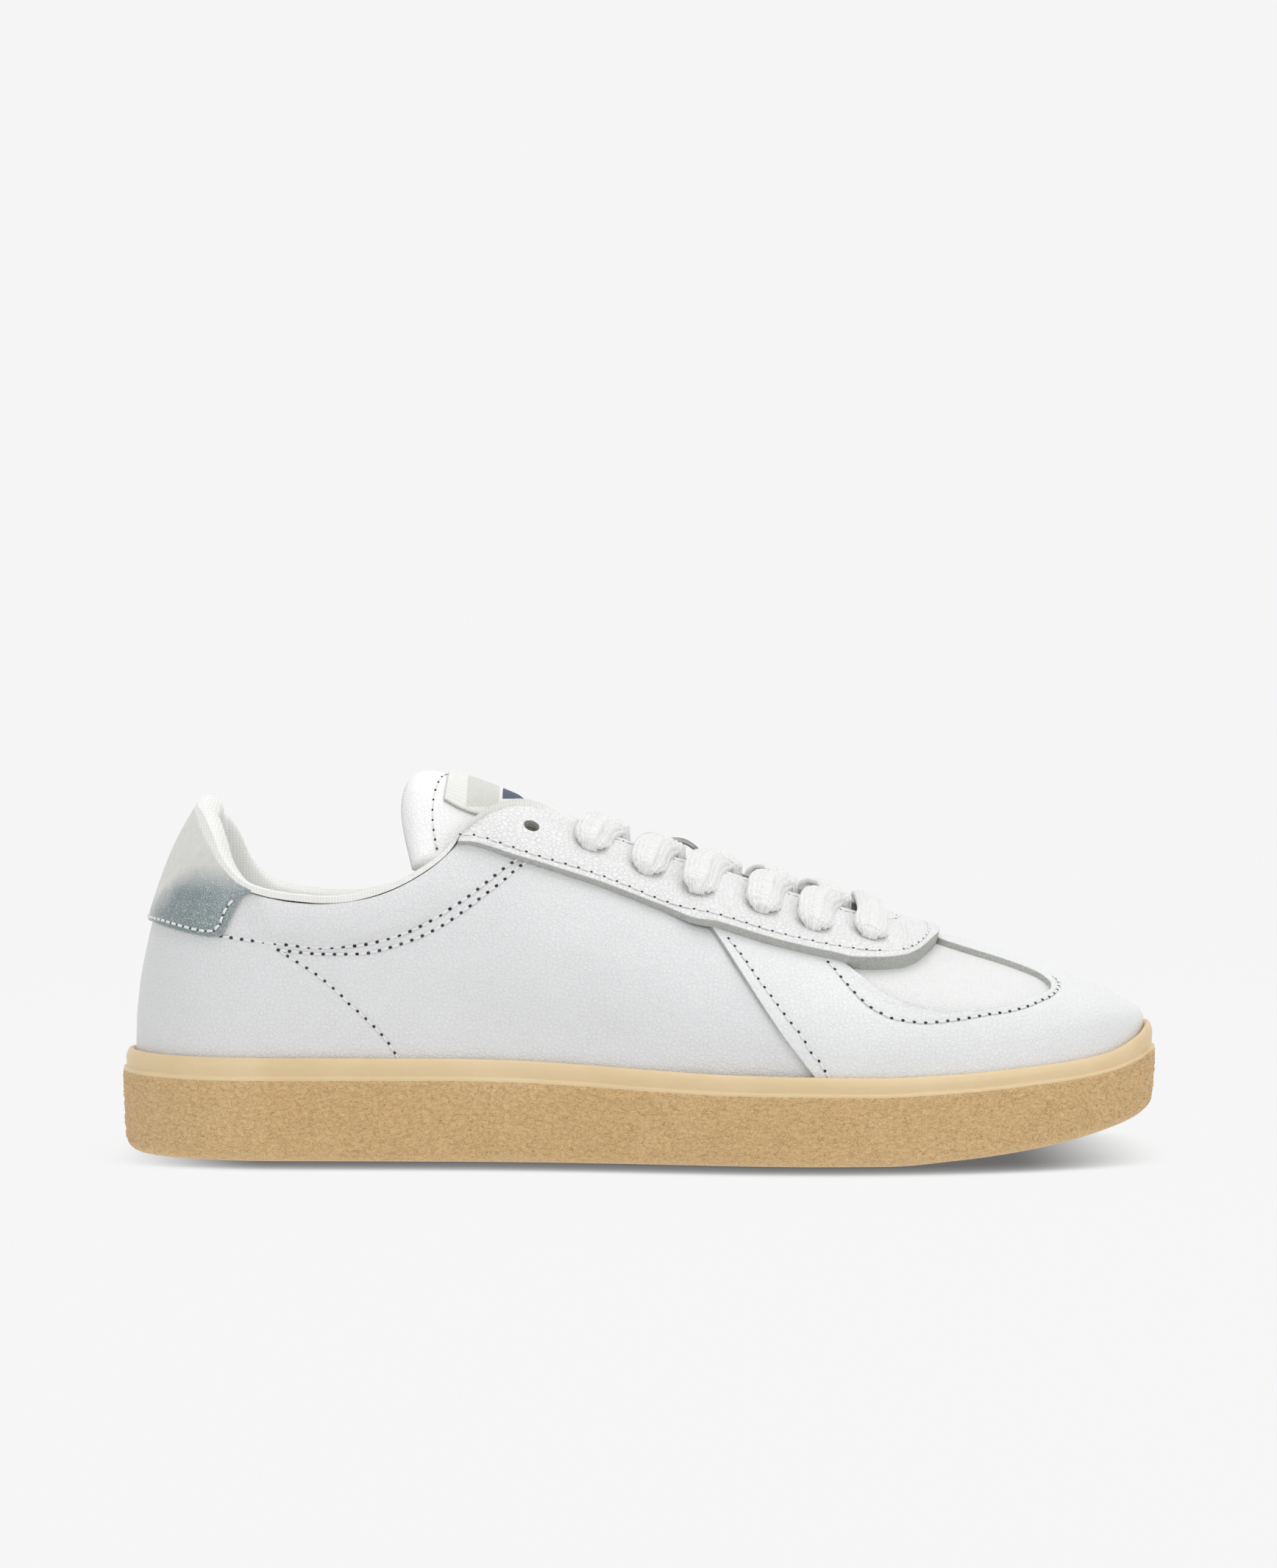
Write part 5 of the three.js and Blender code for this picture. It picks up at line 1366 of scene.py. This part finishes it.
def half_outline(side, step):
    """Plan points, outward normals and surface stations of half the upper at the band."""
    t = np.linspace(0, 1, 4000)
    x = np.concatenate([
        HEEL_CAP_X - (HEEL_CAP_X - HEEL_X) * np.cos(t * math.pi / 2) ** .909,
        np.linspace(-100, 50, 4000)[1:],
        50 + (TOE_X - 50) * np.sin(t[1:] * math.pi / 2) ** .909])
    x = np.clip(x, HEEL_X, TOE_X)
    plan = surface(x, band_v(x), side * np.ones_like(x))[:, :2]
    keep = np.concatenate([[True], np.linalg.norm(np.diff(plan, axis=0), axis=1) > 1e-6])
    plan, x = plan[keep], x[keep]
    along = arc_length(plan)
    u = np.linspace(0, along[-1], int(along[-1] / step) + 1)
    plan = np.stack([np.interp(u, along, plan[:, k]) for k in (0, 1)], -1)
    tangent = np.gradient(plan, axis=0)
    tangent /= np.linalg.norm(tangent, axis=1, keepdims=True)
    normals = -side * np.stack([tangent[:, 1], -tangent[:, 0]], -1)
    normals[0], normals[-1] = (-1, 0), (1, 0)
    return plan, normals, np.interp(u, along, x)


def outlines(step):
    """Both half outlines, with as many stations on the medial as on the lateral."""
    first, (plan, normals, x) = half_outline(-1, step), half_outline(1, step)
    if len(plan) != len(first[0]):
        i = np.arange(len(plan))
        u = np.linspace(0, len(plan) - 1, len(first[0]))
        plan, normals = (np.stack([np.interp(u, i, a[:, k]) for k in (0, 1)], -1)
                         for a in (plan, normals))
        x = np.interp(u, i, x)
        normals /= np.linalg.norm(normals, axis=1, keepdims=True)
    return first, (plan, normals, x)


def resample(points, step):
    points = np.array(points, float)
    along = arc_length(points)
    u = np.linspace(0, along[-1], max(2, int(along[-1] / step)) + 1)
    return np.stack([Curve(dict(zip(along, points[:, k])))(u) for k in (0, 1)], -1)


def triangle_wave(a):
    return 2 * np.abs(a - np.floor(a + .5))


def wrinkle(p):
    """Short raised creases of the moulded side wall."""
    q = p + 1.3 * np.stack([value_noise(p, 2.6, seed) for seed in (21, 22, 23)], -1)
    coarse = 1 - np.abs(value_noise(q * [1, 1, 1.25], 1.9, 31))
    fine = 1 - np.abs(value_noise(q, 1.1, 32))
    return (.30 * np.clip((coarse - .74) / .2, 0, 1) + .22 * np.clip((fine - .72) / .24, 0, 1)
            + .06 * value_noise(p, .9, 33) - .11)


def sole_rows(step):
    """Rows up the wall and into the cup.

    Columns: offset, height above the ground, height from the band's top, share of the way
    from the first height to the second, crease weight, material slot.
    """
    rows = [(off, z, 0, 0, np.clip((z - .6) / 2, 0, 1), WALL_SLOT)
            for off, z in resample(CORNER, .5)]
    n = int(17 / step)
    for k in range(1, n + 1):
        t = k / (n + 1)
        rows.append((-.75 * (1 - t) ** 1.6, 5.0, -5.95, t, min(1.0, (n + 1 - k) / 3),
                     WALL_SLOT))
    rows += [(off, 0, z, 1, 0, BAND_SLOT) for off, z in BAND]
    rows += [(off, z, 0, 0, 0, BAND_SLOT) for off, z in CUP_INSIDE]
    return np.array(rows, float).T


def tread(x, y, left, right):
    """Underside: zigzag grooves, a plain arch between two cross grooves, a rim groove."""
    plan = np.stack([x, y], -1)
    e = np.minimum(*(np.linalg.norm(plan - a[..., :2], axis=-1) for a in (left, right)))
    edge = ease(5.0, 6.2, e) * ease(-139, -137, x) * (1 - ease(137, 139, x))
    zigzag = ease(.58, .70, triangle_wave((x + 4.0 * triangle_wave(y / 13.0)) / 6.4))
    cross = ease(1.1, .7, np.abs(x + 34)) + ease(1.1, .7, np.abs(x - 18))
    arch = ease(-35, -33, x) * (1 - ease(17, 19, x))
    rim = (ease(6.0, 5.2, e) * ease(4.0, 4.8, e) * ease(-141, -139, x)
           * (1 - ease(139, 141, x)))
    return GROUND_Z(x) + 1.25 * np.maximum(zigzag * (1 - arch), cross) * edge + .9 * rim


def outsole():
    step = .48 / DENSITY
    offset, from_ground, from_band, share, crease, slot = sole_rows(step)
    walls = []
    for plan, normals, x in outlines(step):
        out = (CUP_OUTSET(x) + CUP_WALL)[:, None] + offset
        px = plan[:, :1] + normals[:, :1] * out
        py = plan[:, 1:] + normals[:, 1:] * out
        pz = lerp(GROUND_Z(px) + from_ground, BAND_Z(px) + from_band * BAND_SCALE(px), share)
        wall = np.stack([px, py, pz], -1)
        wall[..., :2] += normals[:, None] * (wrinkle(wall) * crease)[..., None]
        walls.append(wall)
    left, right = walls
    right[0], right[-1] = left[0], left[-1]
    n, m = left.shape[:2]
    total = n * m + (n - 2) * m
    verts = [left.reshape(-1, 3), right[1:-1].reshape(-1, 3)]
    left_ids = np.arange(n * m).reshape(n, m)
    right_ids = np.vstack([left_ids[:1], np.arange(n * m, total).reshape(n - 2, m),
                           left_ids[-1:]])
    quads = [grid_quads(left_ids), grid_quads(right_ids)[:, [0, 3, 2, 1]]]
    slots = [np.tile(slot[1:], n - 1)] * 2

    def across(row, columns, height, corners, material):
        """Join a row of one side to the same row of the other."""
        nonlocal total
        a, b = left[:, None, row], right[:, None, row]
        middle = a + (b - a) * np.linspace(0, 1, columns + 1)[None, 1:-1, None]
        middle[..., 2] = height(middle[..., 0], middle[..., 1], a, b)
        added = n * (columns - 1)
        ids = np.empty((n, columns + 1), int)
        ids[:, 0], ids[:, -1] = left_ids[:, row], right_ids[:, row]
        ids[:, 1:-1] = np.arange(total, total + added).reshape(n, -1)
        ids[0], ids[-1] = left_ids[0, row], left_ids[-1, row]
        total += added
        verts.append(middle.reshape(-1, 3))
        quads.append(grid_quads(ids)[:, corners])
        slots.append(np.full(len(quads[-1]), material))
    across(0, count(150), tread, [0, 3, 2, 1], WALL_SLOT)
    across(m - 1, 4, lambda x, y, a, b: GROUND_Z(x) + 5.0, [1, 2, 3, 0], BAND_SLOT)
    verts = np.concatenate(verts)
    pairs = zip(map(collapse, np.concatenate(quads).tolist()), np.concatenate(slots))
    faces, slots = zip(*((f, s) for f, s in pairs if f))
    used = np.zeros(len(verts), bool)
    used[[i for f in faces for i in f]] = True
    renumber = np.cumsum(used) - 1
    return outward(new_object("gum_cup_outsole", verts[used], [renumber[f] for f in faces],
                              [WALL_GUM, BAND_GUM], slots, sharp=50))


put(outsole(), "shoe", "gum_rubber", "outsole")

# thickness of the sockliner's foam, by x
SOCK_FOAM = Curve({-147: 4.6, -60: 4.2, 20: 3.2, 147: 2.8})


def sockliner_cover():
    (left, left_normals, x), (right, right_normals, _) = outlines(1.6 / DENSITY)
    columns = count(44)
    inset = -(TUCK * half_width(x, -1.0) * (1 - np.abs(band_v(x)) ** TUCK_POWER)) - 5.4
    a = (left + left_normals * inset[:, None])[:, None]
    b = (right + right_normals * inset[:, None])[:, None]
    t = (1 - np.cos(np.linspace(0, math.pi, columns + 1))) / 2
    plan = a + (b - a) * t[None, :, None]
    px = plan[..., :1]
    edge = np.minimum(*(np.linalg.norm(plan - c, axis=-1, keepdims=True) for c in (a, b)))
    edge = np.minimum(edge, np.minimum(px + 141.2, 140.0 - px).clip(0))
    # over the lower edge: clearance, board, glue gap, foam, gap
    z = LOWER_Z(np.clip(px, -142, 142)) + .1 + 1.5 + .35 + SOCK_FOAM(px) + .3
    bottom = np.concatenate([plan, z], -1)
    waves = .25 * value_noise(bottom, 14, 41)[..., None] * np.clip(edge / 6, 0, 1)
    top = np.concatenate([plan, z + .8 - .55 * (1 - ease(0, .9, edge)) + waves], -1)
    total = len(x) * (columns + 1)
    ids = np.arange(total).reshape(len(x), -1)
    quads = grid_quads(ids).tolist()
    rim = [*ids[:, 0], *ids[-1, 1:], *ids[::-1, -1][1:], *ids[0, ::-1][1:-1]]
    faces = quads + [[total + i for i in reversed(f)] for f in quads]
    faces += [[i, j, total + j, total + i] for i, j in zip(rim, rim[1:] + rim[:1])]
    obj = new_object("sockliner_fabric_top", np.vstack([top.reshape(-1, 3),
                                                        bottom.reshape(-1, 3)]),
                     faces, [SOCK_CLOTH], sharp=40)
    bm = bmesh.new()
    bm.from_mesh(obj.data)
    bmesh.ops.remove_doubles(bm, verts=bm.verts, dist=1e-7)
    bmesh.ops.dissolve_degenerate(bm, dist=1e-8, edges=bm.edges)
    bm.to_mesh(obj.data)
    bm.free()
    return outward(obj)


put(sockliner_cover(), "sockliner", "textile_lining", "sockliner_cover")

# ---- Shoelace: one ribbed ribbon through all rows of holes but the first ----
# Its controls are (x, w, depth, half width, half thickness, crease).
LACE_UNDER = -(LINING_BACK + 1.0 + 1.15)
LACE_WIDTH, LACE_THICKNESS, LACE_ROUND = 5.0, 1.8, 1.75
# Shift of the lateral ends by hole: x: (mm along x, mm across)
LACE_SHIFT = {-14.5: (0, -1.9), 2: (-.3, -1.6), 18: (-2.1, .7), 35: (-.5, 1.4),
              51: (-1.7, 2.0), 66.5: (-1.0, 2.1)}
# A crossing's end curling down into its hole: x offset, share of the x shift, mm across,
# share of the shift across, height over the eyestay, half width, half thickness, and crease
# as a share of the end's own
LACE_END = (
    (.5, 1, -1.9, 1, 2.1, 5.7, 2.0, 1), (0, 1, .2, 1, 2.25, 5.5, 2.25, 1),
    (-.2, 1, 2.0, 1, 1.95, 4.9, 2.05, .9), (-.4, 1, 3.3, 1, 1.45, 3.9, 1.6, .6),
    (-.5, 1, 4.1, 1, .75, 2.4, 1.05, 0), (-.3, .8, 3.4, 1, .02, 1.8, .8, 0),
    (0, .4, 1.7, .5, -.4, 1.9, 1.1, 0), (0, 0, 0, 0, -1.9, 1.6, 1.5, 0))


def lace_shift(eye):
    return LACE_SHIFT.get(eye[0], (0, 0)) if eye[1] < 0 else (0, 0)


def lace_height(x):
    return float(stay_outer(x)) + 1.15 + .4


def lace_end(eye, side):
    x, w = eye
    shift_x, shift_w = lace_shift(eye)
    unit = side * float(w_step(x, w, 1.0))
    crease = 1.0 if x < 30 else .2
    rows = [(x + shift_x * kx + dx, w + unit * (mm + shift_w * kw),
             float(stay_outer(x)) + lift, width, thickness, crease * fold)
            for dx, kx, mm, kw, lift, width, thickness, fold in LACE_END]
    return rows + [(x, w, -2.2, 1.6, 1.5, 0)]


def strand(start, end, high):
    """From under one hole to the end over another; high strands rise earlier."""
    side = 1 if start[1] > 0 else -1
    centre = float(throat_centre((start[0] + end[0]) / 2))
    top = lace_height(end[0]) + .35
    end_x = end[0] + lace_shift(end)[0]
    rows = (
        (.04, lerp(start[1], centre, .13), LACE_UNDER - .1, 2.0, 1.1, 0),
        (.18, lerp(start[1], centre, .42), LACE_UNDER - .1, 3.9, 1.15, 0),
        (.36, centre + side * .12, LACE_UNDER + .3, 3.8, 1.2, 0),
        (.54, centre + side * .05, 1.0 if high else -.6, 4.2, 1.4, 0),
        (.68, centre, top + .3 if high else top - 1.9, 5.0, 1.5, 0),
        (.78, centre - side * .09, top + (.45 if high else 0), 5.4, LACE_THICKNESS, 0),
        (.88, lerp(centre, end[1], .5), top + .5, 5.5, LACE_THICKNESS + .15, .4),
        (.95, lerp(centre, end[1], .74), top + .7, 5.7, LACE_THICKNESS + .25, .9))
    return ([(*start, LACE_UNDER + .5, LACE_ROUND, LACE_ROUND, 0)]
            + [(lerp(start[0], end_x, t), *rest) for t, *rest in rows]
            + lace_end(end, -side))


def lace_tail(eye):
    """The loose end under the last hole, running down inside."""
    x, w = eye
    side = 1 if w > 0 else -1
    rows = ((0, 0, .5, LACE_ROUND, LACE_ROUND), (.5, .05, -.1, 1.6, 1.1),
            (2, .13, -.2, 2.2, 1.1), (3.5, .24, -.4, 1.4, 1.05), (4, .28, -.4, 1.0, 1.0))
    return [(x - back, w + side * out, LACE_UNDER + lift, width, thickness, 0)
            for back, out, lift, width, thickness in rows]


def lace_run(own, other, high):
    """Rows 6 to 1, crossing from side to side."""
    rows = []
    for k in range(6, 1, -1):
        rows += strand(own[k], other[k - 1], high)
        own, other, high = other, own, not high
    return rows + lace_tail(own[1])


def lace_controls():
    a, b = EYES_LATERAL[6], EYES_MEDIAL[6]
    top = lace_height(a[0]) + .75
    centre = float(throat_centre(a[0]))
    bar = [(a[0], w, top + lift, LACE_WIDTH, LACE_THICKNESS + extra, crease)
           for w, lift, extra, crease in (
               (lerp(a[1], centre, .35), .1, .15, .1), (lerp(a[1], centre, .7), 0, 0, 0),
               (centre, 0, 0, 0), (lerp(b[1], centre, .7), 0, 0, 0),
               (lerp(b[1], centre, .35), .1, .15, 0))]
    return np.array(lace_run(EYES_LATERAL, EYES_MEDIAL, True)[::-1]
                    + lace_end(a, -1)[::-1] + bar + lace_end(b, 1)
                    + lace_run(EYES_MEDIAL, EYES_LATERAL, False), float)


def shoelace():
    controls = lace_controls()
    places = point(*controls[:, :3].T)
    keep = np.concatenate([[True], np.linalg.norm(np.diff(places, axis=0), axis=1) > .02])
    places, controls = places[keep], controls[keep]
    per, around = ((14, 92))
    blend = ease(0, 1, np.linspace(0, 1, per, endpoint=False))[None, :, None]

    def eased(rows):
        body = lerp(rows[:-1, None], rows[1:, None], blend).reshape(-1, 3)
        return np.vstack([body, rows[-1:]])
    centres = centripetal(places, per)
    sizes, surface_up = eased(controls[:, 3:]), eased(normal(*controls[:, :2].T))
    width, thickness, crease = sizes[:, :1], sizes[:, 1:2], sizes[:, 2:]
    along = np.gradient(centres, axis=0)
    along /= np.linalg.norm(along, axis=1, keepdims=True)
    for _ in range(2):
        along[1:-1] = (along[:-2] + 2 * along[1:-1] + along[2:]) / 4
    along /= np.linalg.norm(along, axis=1, keepdims=True)
    flat = np.array([1, 0, -.35])       # the ribbon's width lies close to this
    flat /= np.linalg.norm(flat)
    across = flat - (along @ flat)[:, None] * along
    across /= np.linalg.norm(across, axis=1, keepdims=True)
    over = np.cross(along, across)
    # a flattened section with lengthwise ribs on both faces
    angle = (np.arange(around) + .5) / around * 2 * math.pi
    cos, sin = np.cos(angle), np.sin(angle)
    ex = np.sign(cos) * np.abs(cos) ** .82
    ey = np.sign(sin) * np.abs(sin) ** .78
    u = ex * 3.5
    ribs = np.exp(-((u - np.round(u)) / .17) ** 2) * (np.abs(sin) > .2)
    flatness = np.clip((width / thickness - 1) / 1.5, 0, 1)
    up = np.sign((over * surface_up).sum(1))[:, None]
    fold = crease * np.clip(up * ey * 3, 0, 1) * (
        1.45 * np.exp(-((ex - .40) / .075) ** 2) + .45 * np.clip((ex - .40) / .3, 0, 1))
    height = thickness * ey - np.sign(ey) * (.42 * ribs * flatness + fold)
    # wide parts droop along their +x edge
    height -= up * 2.3 * np.clip((width - 4.6) / .8, 0, 1) * np.clip((ex - .05) / .95,
                                                                   0, 1) ** 1.5
    verts = (centres[:, None] + across[:, None] * (width * ex)[..., None]
             + over[:, None] * height[..., None])
    verts += over[:, None] * (np.sign(ey) * .09 * value_noise(verts, .8, 51))[..., None]
    return outward(new_object("ribbed_shoelace", verts.reshape(-1, 3),
                              tube_faces(len(centres), around), [LACE], sharp=0))


put(shoelace(), "shoe", "lace", "shoelace")

# ---- Lace keeper: an arched strip on the tongue ----
KEEPER_DEPTH = Curve({-3: -7.4, 1: -2.0, 5: 4.0, 9: 7.0, 12.5: 8.0, 16: 7.3, 19.5: 4.6,
                      23: -.2, 26.5: -5.4, 29: -8})
KEEPER_LATERAL = [(-5.5, 0), (3, 0), (11, -.01), (19, -.01), (25.5, -.01)]
KEEPER_MEDIAL = [(-5.5, .08), (3, .08), (11, .075), (19, .07), (25.5, .07)]
put(shell("tongue_lace_keeper",
          [ruled(KEEPER_LATERAL, KEEPER_MEDIAL, count(60), count(14), start=True, end=True)],
          lambda x, w: KEEPER_DEPTH(x + 1.5) - .3, lambda x, w: KEEPER_DEPTH(x + 1.5) - 1.7,
          [TONGUE_LEATHER_PAINTED_LIGHTER, RAW_EDGE], rounding=.2), "tongue", "white_leather")

put(seams.threads.make("stitch_threads", THREAD), "shoe", "lace")
# dark discs of painted shade at the needle holes
put(seams.holes.make("needle_hole_shade_discs", HOLE_SHADE), "shoe", "lace")

# ---- CAD pieces that stay ----
for material, names in (
        (BOARD, ("eyelet_reinforcement_lateral", "eyelet_reinforcement_medial",
                 "heel_counter", "toe_puff", "strobel_board")),
        (SOLE_FOAM, ("midsole_filler", "sockliner_foam")),
        (AGLET, ("aglet_lateral", "aglet_medial"))):
    for name in names:
        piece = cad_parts[name]
        if not piece.material_slots:
            piece.data.materials.append(material)
        for slot in piece.material_slots:
            slot.material = material

for obj, body, slot, replaced in placed:
    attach(obj, body)
    if replaced:
        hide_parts(*replaced)


# ---- Floor, light, camera ----
def paper():
    """Glowing paper with a painted contact shadow: camera rays see it darkened by ambient
    occlusion close to the sole, the darkening fading out at both ends.
    """
    m = Material("studio_paper", roughness=.9, specular=.05)
    m.color((.88, .88, .88))
    contact = m.node("AmbientOcclusion", {"Distance": .024}, samples=24).outputs["AO"]
    shadow = m.ramp(contact, (0.0, .15), (.30, .17), (.55, .20), (.69, .28), (.80, .48),
                    (.88, .80), (.94, 1.0))
    distance = m.math("ABSOLUTE", m.xyz()[0])
    fade = m.map_range(distance, from_min=.104, from_max=.156, to_min=0.0, to_max=1.0)
    fade.interpolation_type = "SMOOTHSTEP"
    white = (1, 1, 1)
    shadow = m.mix(fade.outputs[0], shadow, white)
    seen = m.mix(m.node("LightPath", {}).outputs["Is Camera Ray"], white, shadow)
    glow = m.node("Emission", {"Strength": .922, "Color": seen})
    both = m.node("MixShader", {0: .04, 1: glow.outputs[0], 2: m.bsdf.outputs[0]})
    m.feed(m.tree.nodes["Material Output"].inputs["Surface"], both.outputs[0])
    return m.material


def studio_floor():
    """A sheet lying flat, then curving up into a wall behind the shoe."""
    front, back, bend, height, half = -2200, 1600, 600, 3000, 3500
    profile = [(y, 0) for y in (front, -1000, -300, 300, back - bend)]
    profile += [(back - bend + bend * math.sin(a), bend - bend * math.cos(a))
                for a in np.linspace(.1, math.pi / 2, 14)]
    profile.append((back, height))
    verts = [(x, y, z - .02) for y, z in profile for x in (-half, half)]
    faces = [[2 * i, 2 * i + 1, 2 * i + 3, 2 * i + 2] for i in range(len(profile) - 1)]
    new_object("studio_paper_floor", verts, faces, [paper()], sharp=60)


studio_floor()
scene = bpy.context.scene


def sky(light=.60, seen=.915):
    """White world, brighter to the camera than as a light."""
    world = bpy.data.worlds.new("soft_sky")
    scene.world = world
    world.use_nodes = True
    nodes = Nodes(world.node_tree)
    background = world.node_tree.nodes["Background"].inputs
    nodes.feed(background["Color"], (1, 1, 1))
    background["Strength"].default_value = light
    camera_ray = nodes.node("LightPath", {}).outputs["Is Camera Ray"]
    strength = nodes.map_range(camera_ray, to_min=light, to_max=seen)
    nodes.feed(background["Strength"], strength.outputs[0])


def softbox(name, location, target, size, power):
    light = bpy.data.lights.new(name, "AREA")
    light.shape = "RECTANGLE"
    light.size, light.size_y = size
    light.energy = power
    light.color = (1, 1, 1)
    obj = bpy.data.objects.new(name, light)
    scene.collection.objects.link(obj)
    obj.location = location
    aim = Vector(target) - Vector(location)
    obj.rotation_euler = aim.to_track_quat("-Z", "Y").to_euler()
    obj.visible_camera = False


sky()
softbox("top_softbox", location=(.15, -.10, 1.3), target=(.02, 0, .05), size=(1.3, .9),
        power=8.0)
softbox("front_softbox", location=(.95, -1.15, .65), target=(.08, 0, .04), size=(.8, .8),
        power=4.6)
softbox("heel_softbox", location=(-1.1, -.95, .5), target=(-.09, 0, .05), size=(.7, .7),
        power=1.7)

lens = bpy.data.cameras.new("camera")
lens.sensor_fit = "VERTICAL"
lens.sensor_height = lens.sensor_width = 36
lens.lens = 74.33
lens.shift_y = .0068
lens.clip_start, lens.clip_end = .01, 20
camera = bpy.data.objects.new("camera", lens)
scene.collection.objects.link(camera)
camera.location = (0, -.95, .104)
camera.rotation_euler = (math.pi / 2, 0, 0)
scene.camera = camera
scene.view_settings.view_transform = "Standard"
scene.view_settings.look = "None"
scene.view_settings.exposure = 0
scene.view_settings.gamma = 1
